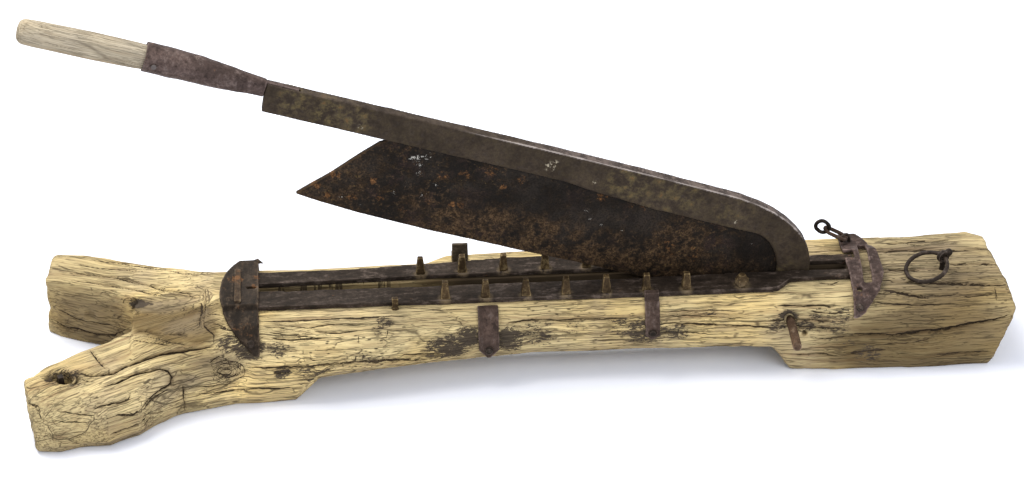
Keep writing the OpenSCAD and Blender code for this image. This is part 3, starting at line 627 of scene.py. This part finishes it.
# Holes pressed into the wood and painted near black: painted shade inside them
HOLES = [(-465, 35, 79, 9, 1), (-466, 32, 70, 8, 1), (-463, 12, 81, 6, 0.7), (314, -47, 75, 8, 1), (414, -14, 97, 7, 1), (316.6, -30, 68, 11, 0.8),
         (-559, -106, 74, 12, 1), (-531, -110, 78, 10, 0.9), (333, -51, 54, 4.5, 1), (-522, 61, 44, 9, 0.5), (323, -48, 60, 6, 0.5),
         (-540, -146, 26, 4, 0.8)]
WORMS = [(-250, -64, 64, 40), (-200, -60, 62, 45), (-180, -62, 56, 34), (-150, -50, 78, 26, 0.7), (30, -42, 74, 50),
         (100, -42, 66, 44), (-110, -56, 62, 30), (200, -44, 76, 44, 0.7), (-320, -60, 80, 22), (360, -48, 74, 28),
         (230, -50, 50, 40, 0.6), (480, 62, 96, 40, 0.8), (480, 0, 97, 70, 0.9), (550, -20, 97, 60, 0.8), (480, -50, 70, 60, 0.6), (-560, -140, 55, 30, 0.5), (-380, 10, 95, 20, 0.5)]
# Lighter and darker patches, partly the wood's own tone and partly painted light and shade: darker on the block's
# front and low side, in the saddle and in the crotch between the feet, lighter along the trunk's upper front
TONES_LIGHT_AND_SHADE = [(-407, -63, 83, 36, -0.4), (-427, -47, 87, 30, -0.35), (-446, 4, 81, 44, -0.4), (-422, -11, 83, 36, -0.35),
         (-354, -78, 26, 46, 0.75), (-307, -75, 24, 48, 0.7), (500, -58, 42, 105, -0.85), (400, -58, 28, 50, -0.5), (470, 20, 97, 100, -0.30), (560, 0, 97, 60, -0.3), (-520, 90, 82, 70, -0.15), (-470, -100, 70, 60, -0.12),
         (-400, -36, 88, 34, -0.85), (-425, -22, 86, 34, -0.6), (-384, -44, 90, 22, -0.5), (-400, -110, 70, 40, 0.15),
         (-250, -72, 40, 70, 0.35), (-365, -10, 97, 18, -0.2), (-415, -88, 50, 18, -0.6),
         (-522, 62, 34, 62, -0.62), (-430, -8, 86, 46, -0.62), (-395, -10, 92, 30, -0.55), (-372, -78, 52, 30, -0.5),
         (-360, -66, 58, 24, -0.35), (-470, -112, 62, 44, 0.35), (-530, 96, 82, 60, -0.12), (240, -46, 76, 80, 0.30),
         (-240, -52, 84, 66, 0.22), (20, -44, 84, 60, 0.22), (-575, -150, 30, 40, -0.12), (-440, 90, 84, 50, 0.05)]
GREYS = [(-400, -30, 88, 30, 0.7), (-387, -12, 93, 12, 0.9), (480, 20, 97, 100, 0.7), (-425, 22, 88, 26, 0.8), (-447, 25, 81, 20, 1), (-388, -14, 93, 14, 0.8), (-365, -72, 56, 30, 0.7),
         (-520, 62, 40, 50, 0.45), (480, -30, 95, 60, 0.3), (-398, -84, 46, 16, 0.7), (-292, -73, 30, 40, 0.35),
         (560, -50, 60, 50, 0.25)]
COVERED = [(-368, -312, 58, 112), (386, 442, 58, 112), (-316, 394, 94, 112), (-60, -31, 36, 112),
           (-85, -61, 48, 112), (118, 162, 48, 112)]


def traced(co, normal):
    """Signed distance to the nearest known crack, its half width there and its depth, in mm."""
    mm = co / MM
    mm[:, 2] += 1.0 * noise(co * 95, 61) + 0.5 * noise(co * 240, 62)
    mm[:, 0] += 1.0 * noise(co * 95, 63)
    away = np.full(len(mm), 99.0)
    signed, width, depth = (np.full(len(mm), start) for start in (99.0, 0.0, 0.0))
    for half, deep, points in CRACKS:
        path = np.array(points, float)
        lengths = np.linalg.norm(np.diff(path, axis=0), axis=1)
        run = np.concatenate([[0], np.cumsum(lengths)])
        pick = np.flatnonzero(np.all((mm > path.min(0) - 12) & (mm < path.max(0) + 12), axis=1))
        for i, length in enumerate(lengths):
            along = (path[i + 1] - path[i]) / length
            part = np.clip((mm[pick] - path[i]) @ along, 0, length)
            off = mm[pick] - path[i] - part[:, None] * along
            lift = np.sum(off * normal[pick], axis=1)
            off -= lift[:, None] * normal[pick]
            gap = np.linalg.norm(off, axis=1)
            at = (run[i] + part) / run[-1]
            taper = np.clip(np.minimum(at / 0.12, (1 - at) / 0.2), 0, 1) ** 0.6
            better = (gap < away[pick]) & (np.abs(lift) < 14)
            rows = pick[better]
            hand = np.sign(np.sum(np.cross(along, off) * normal[pick], axis=1))
            away[rows] = gap[better]
            signed[rows] = (gap * np.where(hand == 0, 1, hand))[better]
            width[rows] = (half * taper)[better]
            depth[rows] = (deep * taper)[better]
    fade = 1 - step(4.0, 6.5, away)
    return signed, width * fade, depth * fade


def grain_of(co):
    """Coordinates that follow the fibres: straight in the trunk, spreading into the two feet."""
    x, y = co[:, 0] / MM, co[:, 1] / MM - 20
    split = np.interp(x, [-600, -529, -467, -330], [-36, -14, -5, 0])
    way = np.clip((-330 - x) / 270, 0, 1)
    front = step(12, -12, y - split)
    out = co.copy()
    out[:, 1] -= (front * -118 * way**1.36 + (1 - front) * 70 * way**1.25) * MM
    swirl = near(co, [(-352, -70, 54, 30)], 1.2)
    out[:, 1] += swirl * 0.006 * noise(co * 26, 81)
    out[:, 2] += swirl * 0.012 * noise(co * 22, 82)
    return out


def crack_map(grain, along, across, width, seed, gate_scale=(6, 26, 26), low=0.0, high=0.35):
    """1 in the middle of a drying crack, 0 off it. Cracks run along the grain and fade out."""
    bend = 0.35 * noise(grain * (along * 1.4, across * 0.25, across * 0.25), seed + 5)
    value = noise(grain * (along, across, across) + bend[:, None], seed)
    gate = step(low, high, noise(grain * gate_scale, seed + 9))
    return (1 - step(0, width, np.abs(value))) * gate


def under_iron(co):
    """1 where an iron lies on the wood, fading to 0 around it."""
    x, z = co[:, 0] / MM, co[:, 2] / MM
    out = np.zeros(len(co))
    for left, right, low, high in COVERED:
        inside = step(left - 3, left, x) * step(right + 3, right, x) * step(low - 3, low, z) * step(high + 3, high, z)
        out = np.maximum(out, inside)
    return out


class CHOPPER_OT_timber(bpy.types.Operator):
    """Make the cracked, hewn timber bed"""

    bl_idname = "chopper.timber"
    bl_label = "Timber Bed"

    def execute(self, context):
        given = settings().timber
        net = Net(remeshed(plain_copy("timber_bed"), given.net))
        net.soften(3)
        x, y, z = (net.co / MM).T
        ends = np.maximum(step(566, 580, x), step(-560, -585, x))
        net.soften(14, (0.5 * ends)[:, None])
        normal = net.normals().copy()
        grain = grain_of(net.co)
        covered = under_iron(net.co)
        inner = step(19, 15, np.abs(y - 20)) * step(-360, -350, x) * step(402, 395, x)
        facing = step(-0.1, 0.35, normal @ np.array((0.07, -0.83, 0.56)))
        waves = layered(net.co * (8, 26, 26), 3, 11) * given.hewn
        waves = waves - 0.3 * MM
        fibres = noise(grain * (11, 88, 88), 21) * 0.35 * MM + noise(grain * (20, 190, 190), 22) * 0.14 * MM
        burl = near(net.co, [(-353, -72, 52, 30), (-452, -118, 40, 14, 0.5)], 1.1)
        rings = burl * (2.6 + 1.5 * noise(net.co * (60, 120, 120), 23)) * MM
        shoulder = step(-380, -384, x) * step(-478, -420, x) * step(-44, -38, y) * step(40, 32, y) * step(0.4, 0.8,
                                                                                                    normal[:, 2])
        chips = ends * np.clip(noise(net.co * 42, 24), 0, 1) * 5.0 * MM + ends * np.abs(noise(net.co * 110, 25)) * MM
        holes = near(net.co, HOLES, 1.0)
        wide = step(0.62, 0.78, noise(grain * (4.5, 42, 42), 31)) * (1 - facing)
        signed, width, depth = traced(net.co, normal)
        groove = depth * np.clip(1 - np.abs(signed) / (width * 1.5 + 0.7), 0, 1) ** 0.8
        out = waves + fibres + rings - chips - shoulder * 1.2 * MM - holes * 7 * MM
        out = out * (1 - inner) * (1 - covered) + np.minimum(out, -0.1 * MM) * covered * 0.3
        out -= (wide * 4.0 * MM + groove * MM) * (1 - 0.7 * covered)
        net.swell(out)
        low, high = (np.array(c) for c in CAD_BOX)
        net.co = np.clip(net.co, low, high)
        wear_highlight_and_shade = net.edge_relief(given.net)
        # Near black in the wide cracks, and painted shade: in hollows of the surface, inside the holes and deep in the
        # slot towards its right end
        dark = np.maximum(np.clip(wide * 1.1, 0, 1), step(-0.12, -0.4, wear_highlight_and_shade) * 0.55)
        dark = np.maximum(dark, np.maximum(step(0.3, 0.9, holes) * 0.9, inner * step(-150, -60, x) * 0.9))
        tone_light_and_shade = np.zeros(net.n)
        for spot in TONES_LIGHT_AND_SHADE:
            tone_light_and_shade += near(net.co, [spot[:4]]) * spot[4]
        # Painted shade: darker towards the bottom everywhere left of the block, and on faces turned to the camera that
        # are upright or point down
        tone_light_and_shade += -0.14 * step(44, 18, z) * (x < 300) - 0.22 * facing * step(0.45, -0.1, normal[:, 2])
        tone_light_and_shade += 0.16 * noise(net.co * 13, 26)
        slot_shade = inner * step(96, 70, z)
        sawn = inner * step(-140, -170, x)
        net.keep("grain", grain)
        net.keep("crack_and_shade", dark)
        net.keep("line", np.clip(signed, -9, 9))
        net.keep("line_width", width)
        net.keep("stain", near(net.co, STAINS) * (1 - step(0.05, 0.4, -normal[:, 2])))
        net.keep("worms", near(net.co, WORMS))
        # Inside the slot the wood is darkened, more deep down and towards its right end: painted shade
        net.keep("tone_light_and_shade", np.clip(tone_light_and_shade - slot_shade * 0.5 - inner * (0.55 + 0.7 * step(-150, -60, x)), -1.6, 1))
        net.keep("sawn", sawn)
        net.keep("butt", ends * step(0.5, 0.8, np.abs(normal[:, 0])))
        # Greyer and darker on faces that point down
        net.keep("grey", np.maximum(near(net.co, GREYS), 0.6 * step(0.0, -0.6, normal[:, 2])))
        net.write()
        look = wood("hewn_timber", given.pale, given.dark, given.grey)
        piece("hewn_bed", net.me, "base", "bed_timber", look, "timber_bed")
        return {"FINISHED"}


FRONT_TEETH = [(-95 + i * 48, -16, 104) for i in range(7)]
BACK_TEETH = [(-122 + i * 50, 38, 104) for i in range(8)]
COLLARS = [(x, y - 2, z, 11) for x, y, z in FRONT_TEETH + BACK_TEETH] + [(260, -14, 104, 14)]
RUSTY = [(-318, 36, 104, 9), (-322, 16, 104, 8), (-345, 30, 110, 12, 0.7), (-300, 16, 100, 12, 0.6),
         (396, 24, 104, 8), (392, -4, 104, 6, 0.6), (380, 36, 104, 24, 0.6), (372, 0, 104, 20, 0.35), (-40, -40, 102, 10, 0.5), (420, 20, 106, 16, 0.3)]


def forge(node, name, body, slot, material, size=1.0, rounds=2, amount=1.0, grow=0.0):
    """A packed iron with soft edges and hammer marks."""
    given = settings().iron
    net = Net(remeshed(plain_copy(node), given.net * size))
    net.soften(rounds)
    marks = layered(net.co * 45, 2, len(name)) * given.forged * amount
    net.swell(marks - 0.15 * MM * amount * (rounds > 0) + grow)
    # Ridges and grooves, for wear and painted highlights on the edges
    net.keep("wear_highlight_and_shade", net.edge_relief(given.net * size))
    if body == "base":
        net.keep("dusty", near(net.co, COLLARS, 1.0) if "rail" in node else np.zeros(net.n))
        net.keep("rusty", near(net.co, RUSTY, 1.0))
    net.write()
    return piece(name, net.me, body, slot, material, node)


class CHOPPER_OT_irons(bpy.types.Operator):
    """Make the rails, teeth, plates, straps, nails, ring and chain"""

    bl_idname = "chopper.irons"
    bl_label = "Irons"

    def execute(self, context):
        given = settings().iron
        plain = iron("forged_iron", given.base, [c * 1.1 for c in given.dust], given.rust, 0.22, drawn=(0.4, 1, 1))
        left = iron("left_plate_iron", (0.024, 0.0165, 0.0105), (0.095, 0.066, 0.042), given.rust, 0.34, 0.5,
                    drawn=(1, 0.4, 1))
        rib = iron("rib_iron", (0.056, 0.036, 0.021), (0.15, 0.105, 0.062), given.rust, 0.45, 0.5)
        tab = iron("tab_iron", (0.080, 0.060, 0.038), (0.20, 0.155, 0.100), given.rust, 0.25, 0.55)
        right = iron("right_plate_iron", (0.058, 0.038, 0.031), (0.19, 0.135, 0.112), given.rust, 0.3, 0.5)
        strap = iron("strap_iron", (0.062, 0.040, 0.030), (0.165, 0.120, 0.098), given.rust, 0.25, 0.5,
                     drawn=(1, 1, 0.4))
        ring = iron("ring_iron", [c * 1.1 for c in given.base], given.dust, given.rust, 0.2, 0.45)
        dark = iron("dark_iron", [c * 0.7 for c in given.base], given.dust, given.rust, 0.2, 0.45)
        # Teeth iron with strongly lightened edges: partly wear, partly painted highlight
        worn_and_highlit = iron("worn_highlit_iron", (0.052, 0.032, 0.014), (0.24, 0.17, 0.078), (0.15, 0.07, 0.03), 0.3, 0.55, 0.05,
                    edge=0.9)
        pin = iron("pin_iron", (0.080, 0.047, 0.028), (0.24, 0.17, 0.11), (0.12, 0.06, 0.03), 0.3, 0.55)
        rusty = iron("rusty_iron", (0.060, 0.036, 0.024), given.dust, given.rust, 0.5, 0.6)
        for node in ("front_rail", "back_rail"):
            forge(node, "forged_" + node, "base", "iron", plain)
        forge("left_saddle_plate", "forged_left_saddle_plate", "base", "iron", left)
        forge("left_plate_rib", "forged_left_plate_rib", "base", "iron", rib, 0.8)
        forge("right_saddle_plate", "forged_right_saddle_plate", "base", "iron", right)
        for node in ("front_strap_left", "front_strap_right", "back_strap_left", "back_strap_right"):
            forge(node, "forged_" + node, "base", "iron", tab if "back" in node else strap, 0.8)
        for node in ("front_teeth", "back_teeth", "rail_bolt", "side_spike"):
            forge(node, "forged_" + node, "base", "tooth_iron", worn_and_highlit, 0.6, 4, 1.0)
        for node in ("strap_nails", "left_plate_nails", "right_plate_nails", "foot_spike"):
            forge(node, "forged_" + node, "base", "dark_iron", dark, 0.55, 1)
        for node in ("ring_eye", "chain_staple"):
            forge(node, "forged_" + node, "base", "dark_iron", dark, 0.5, 2, 0.5)
        forge("tie_ring", "forged_tie_ring", "tie_ring", "dark_iron", ring, 0.5, 0, 0.6, -0.5 * MM)
        forge("chain_link_lower", "forged_lower_link", "chain_link_lower", "dark_iron", rusty, 0.4, 0, 0.3, 0.3 * MM)
        forge("chain_link_upper", "forged_upper_link", "chain_link_upper", "rusty_iron", dark, 0.4, 0, 0.3, 0.4 * MM)
        forge("pivot_pin", "forged_pivot_pin", "pivot_pin", "tooth_iron", pin, 0.7, 1, 0.3)
        return {"FINISHED"}


# Spots on the front of the knife, level with its pivot at the origin: x, z and radius in mm, and a strength
ORANGE = [(-573, 22, 6), (-565, 22, 5), (-590, 4, 6), (-524, 25, 7), (-571, -9, 5), (-585, 1, 5), (-427, 17, 6),
          (-415, 19, 6), (-447, 53, 8, 0.7), (-375, 56, 5), (-423, 60, 11, 0.5), (-394, 72, 10, 0.5),
          (-356, 70, 9, 0.5), (-542, -3, 7, 0.7), (-257, 72, 9, 0.6), (-220, 73, 8, 0.4), (-203, 74, 8, 0.4),
          (-452, 14, 7, 0.7), (-480, -2, 9, 0.4), (-510, 6, 8, 0.5), (-160, 22, 18, 0.35), (-125, 22, 16, 0.3)]
SPECKS = [(-486, 67, 9), (-478, 62, 8), (-472, 72, 8), (-476, 49, 6, 0.8), (-486, 30, 4), (-497, 14, 4), (-554, -7, 5),
          (-463, 21, 5), (-531, -13, 4), (-452, 39, 5), (-269, 51, 4), (-262, 38, 5, 0.8), (-246, 36, 4, 0.8),
          (-218, 32, 4, 0.8), (-62, 57, 3), (-575, 33, 6, 0.7), (-491, 66, 3, 2), (-487, 68, 3, 2), (-483, 69, 3, 2),
          (-479, 72, 2.5, 1.8)]
BLACK = [(-330, 38, 70), (-260, 50, 60, 0.9), (-400, 40, 40, 0.7), (-190, 60, 44), (-60, 50, 40, 0.9), (-40, 20, 24),
         (-530, 40, 26, 0.6), (-470, 66, 24, 0.6), (-300, 90, 60, 0.6), (-520, 60, 24, 0.5)]
GOLD = [(-590, 2, 22), (-560, 20, 30), (-575, -6, 24, 0.8), (-500, 58, 26, 0.8), (-465, 52, 26), (-430, 40, 24, 0.8),
        (-440, 16, 26, 0.8), (-500, 4, 22, 0.7), (-400, 62, 26, 0.7), (-350, 66, 24, 0.6), (-150, 20, 46),
        (-100, 24, 30, 0.7), (-300, -6, 40, 0.5), (-210, 4, 30, 0.6)]
OLIVE = [(-643, 107, 24), (-600, 102, 26), (-567, 104, 24, 0.8), (-232, 104, 36, 0.9), (-176, 101, 44, 0.7),
         (-10, 34, 16, 0.6), (-100, 92, 30, 0.4)]
BAR_MARKS = [(-331, 100, 8), (-327, 106, 5), (-93, 83, 3), (-274, 93, 3), (-560, 95, 4)]


def laid_level(co):
    """Points in the knife's own frame: along it, across it and up from its pivot."""
    off = co - PIVOT
    c, s = math.cos(OPEN), math.sin(OPEN)
    return np.stack([off[:, 0] * c - off[:, 2] * s, off[:, 1], off[:, 0] * s + off[:, 2] * c], axis=1)


def flat_spots(level, spots):
    out = np.zeros(len(level))
    for x, z, r, *strength in spots:
        away = np.hypot(level[:, 0] / MM - x, level[:, 2] / MM - z) / r
        out = np.maximum(out, (1 - step(0.35, 1.1, away)) * (strength[0] if strength else 1))
    return out


class CHOPPER_OT_knife(bpy.types.Operator):
    """Make the knife: blade, back bar, socket and handle"""

    bl_idname = "chopper.knife"
    bl_label = "Knife"

    def execute(self, context):
        given, irons = settings().knife, settings().iron
        net = Net(remeshed(plain_copy("knife_plate"), 1.1 * MM))
        net.soften(1)
        level = laid_level(net.co)
        net.swell(layered(net.co * 30, 3, 3) * 0.3 * MM)
        x, z = level[:, 0] / MM, level[:, 2] / MM
        belt = step(-500, -420, x) * step(38, 12, z + 8 * noise(net.co * 14, 33)) * step(-62, -92, x)
        belt = np.maximum(belt, 0.9 * flat_spots(level, [(-150, 24, 52), (-60, 10, 34, 0.6)]))
        net.keep("belt", np.maximum(belt, 0.45 * step(-500, -560, x)))
        net.keep("spot", flat_spots(level, ORANGE))
        net.keep("gold", flat_spots(level, GOLD))
        net.keep("black", 0.85 * flat_spots(level, BLACK))
        net.keep("speck", flat_spots(level, SPECKS))
        net.keep("wear_highlight_and_shade", net.edge_relief(1.1 * MM))
        net.write()
        look = blade_iron(given.black, given.brown, given.rust)
        piece("black_blade", net.me, "knife", "knife_iron", look, "knife_plate")
        net = Net(remeshed(plain_copy("knife_back_bar"), 1.4 * MM))
        net.soften(2)
        net.swell(layered(net.co * 34, 3, 8) * 0.4 * MM - 0.1 * MM)
        level = laid_level(net.co)
        normal = net.normals().copy()
        wear_highlight_and_shade = net.edge_relief(1.4 * MM)
        up = step(0.35, 0.75, normal[:, 2])
        # Mask for a thin painted highlight along the upper front edge
        ridge_highlight = step(0.06, 0.13, wear_highlight_and_shade) * step(-3.5, -5, level[:, 1] / MM) * step(0.3, 0.5, normal[:, 2])
        ridge_highlight = ridge_highlight * step(-460, -380, level[:, 0] / MM)
        net.keep("top", up * (1 - 0.8 * step(-310, -390, level[:, 0] / MM)))
        net.keep("ridge_highlight", ridge_highlight)
        net.keep("olive", flat_spots(level, OLIVE))
        net.keep("speck", flat_spots(level, BAR_MARKS))
        net.keep("wear_highlight_and_shade", wear_highlight_and_shade)
        net.write()
        look = bar_iron(given.bar, given.olive, (0.095, 0.074, 0.063), given.rust)
        piece("forged_back_bar", net.me, "knife", "bar_iron", look, "knife_back_bar")
        socket = iron("socket_iron", (0.082, 0.056, 0.047), (0.20, 0.150, 0.130), irons.rust, 0.2, 0.42, 0.15)
        forge("handle_socket", "rolled_socket", "knife", "iron", socket, 0.8, 2)
        forge("handle_nail", "socket_nail", "knife", "dark_iron", bpy.data.materials["dark_iron"], 0.5, 1)
        net = Net(remeshed(plain_copy("wooden_handle"), 1.2 * MM))
        net.soften(2)
        grain = laid_level(net.co)
        cut = crack_map(grain, 9, 150, 0.12, 71, (14, 60, 60))
        net.swell(noise(grain * (12, 120, 120), 5) * 0.3 * MM - cut * 0.8 * MM - 0.2 * MM)
        net.keep("grain", grain)
        net.keep("crack_and_shade", cut * 0.5)
        net.keep("grey", 0.35 + 0.3 * noise(grain * (6, 50, 50), 6))
        net.write()
        look = wood("handle_wood", (0.55, 0.47, 0.33), (0.27, 0.20, 0.12), (0.38, 0.33, 0.25), 1.6, 0.6)
        piece("worn_handle", net.me, "knife", "handle_wood", look, "wooden_handle")
        return {"FINISHED"}


def area_light(name, place, aim, size, power, colour=(1, 1, 1)):
    light = bpy.data.lights.new(name, "AREA")
    light.shape, light.size, light.size_y = "RECTANGLE", size[0], size[1]
    light.energy, light.color = power, colour
    ob = bpy.data.objects.new(name, light)
    ob.location = place
    ob.rotation_mode = "QUATERNION"
    ob.rotation_quaternion = (Vector(aim) - Vector(place)).to_track_quat("-Z", "Y")
    bpy.context.scene.collection.objects.link(ob)


class CHOPPER_OT_stage(bpy.types.Operator):
    """Make the floor, lights, background and camera"""

    bl_idname = "chopper.stage"
    bl_label = "Stage"

    def execute(self, context):
        given = settings().stage
        scene = context.scene
        me = bpy.data.meshes.new("floor")
        me.from_pydata([(-30, -30, 0), (30, -30, 0), (30, 30, 0), (-30, 30, 0)], [], [(0, 1, 2, 3)])
        floor = bpy.data.objects.new("floor", me)
        floor.location.z = CAD_BOX[0][2] - 0.3 * MM
        scene.collection.objects.link(floor)
        s = Shader("floor_paper")
        s.feed(s.surface.inputs["Base Color"], (*given.floor, 1))
        s.surface.inputs["Roughness"].default_value = 0.95
        s.surface.inputs["Specular IOR Level"].default_value = 0.1
        me.materials.append(s.material)
        world = bpy.data.worlds.new("studio")
        scene.world = world
        world.use_nodes = True
        tree = world.node_tree
        tree.nodes.clear()
        path = tree.nodes.new("ShaderNodeLightPath")
        soft = tree.nodes.new("ShaderNodeBackground")
        soft.inputs[0].default_value, soft.inputs[1].default_value = (0.87, 0.895, 1, 1), 0.82
        white = tree.nodes.new("ShaderNodeBackground")
        white.inputs[0].default_value, white.inputs[1].default_value = (1, 1, 1, 1), 1.0
        mix = tree.nodes.new("ShaderNodeMixShader")
        out = tree.nodes.new("ShaderNodeOutputWorld")
        seen = path.outputs["Is Camera Ray"]
        for ray in ("Is Glossy Ray", "Is Transmission Ray"):
            either = tree.nodes.new("ShaderNodeMath")
            either.operation = "MAXIMUM"
            tree.links.new(seen, either.inputs[0])
            tree.links.new(path.outputs[ray], either.inputs[1])
            seen = either.outputs[0]
        tree.links.new(seen, mix.inputs[0])
        tree.links.new(soft.outputs[0], mix.inputs[1])
        tree.links.new(white.outputs[0], mix.inputs[2])
        tree.links.new(mix.outputs[0], out.inputs[0])
        area_light("key", (-1.0, 0.9, 2.7), (0, 0, 0), (2.2, 1.6), given.key, (1, 0.985, 0.96))
        area_light("fill", (1.4, -2.2, 2.2), (0, 0, 0.1), (2.0, 1.5), given.key * 0.36, (0.97, 0.985, 1))
        camera = bpy.data.cameras.new("camera")
        camera.lens, camera.sensor_width = given.lens, 36
        camera.clip_start, camera.clip_end = 0.1, 50
        ob = bpy.data.objects.new("camera", camera)
        ob.location = (-0.21946, -2.9325, 2.1539)
        ob.rotation_euler = (math.radians(56), 0, math.radians(-4))
        scene.collection.objects.link(ob)
        scene.camera = ob
        scene.view_settings.view_transform = "Standard"
        return {"FINISHED"}


class ChopperSettings(bpy.types.PropertyGroup):
    timber: bpy.props.PointerProperty(type=TimberSettings)
    iron: bpy.props.PointerProperty(type=IronSettings)
    knife: bpy.props.PointerProperty(type=KnifeSettings)
    stage: bpy.props.PointerProperty(type=StageSettings)


class CHOPPER_PT_panel(bpy.types.Panel):
    bl_idname = "CHOPPER_PT_panel"
    bl_label = "Fodder Chopper"
    bl_space_type = "VIEW_3D"
    bl_region_type = "UI"
    bl_category = "Chopper"

    def draw(self, context):
        given = context.scene.chopper
        for group, step_id in (("timber", "chopper.timber"), ("iron", "chopper.irons"),
                               ("knife", "chopper.knife"), ("stage", "chopper.stage")):
            box = self.layout.box()
            values = getattr(given, group)
            for key in type(values).__annotations__:
                box.prop(values, key)
            box.operator(step_id)


CLASSES = (TimberSettings, IronSettings, KnifeSettings, StageSettings, ChopperSettings, CHOPPER_OT_timber,
           CHOPPER_OT_irons, CHOPPER_OT_knife, CHOPPER_OT_stage, CHOPPER_PT_panel)


def register():
    for c in CLASSES:
        bpy.utils.register_class(c)
    bpy.types.Scene.chopper = bpy.props.PointerProperty(type=ChopperSettings)


def unregister():
    del bpy.types.Scene.chopper
    for c in reversed(CLASSES):
        bpy.utils.unregister_class(c)


def main():
    register()
    bpy.ops.chopper.timber()
    bpy.ops.chopper.irons()
    bpy.ops.chopper.knife()
    bpy.ops.chopper.stage()


if __name__ == "__main__":
    main()
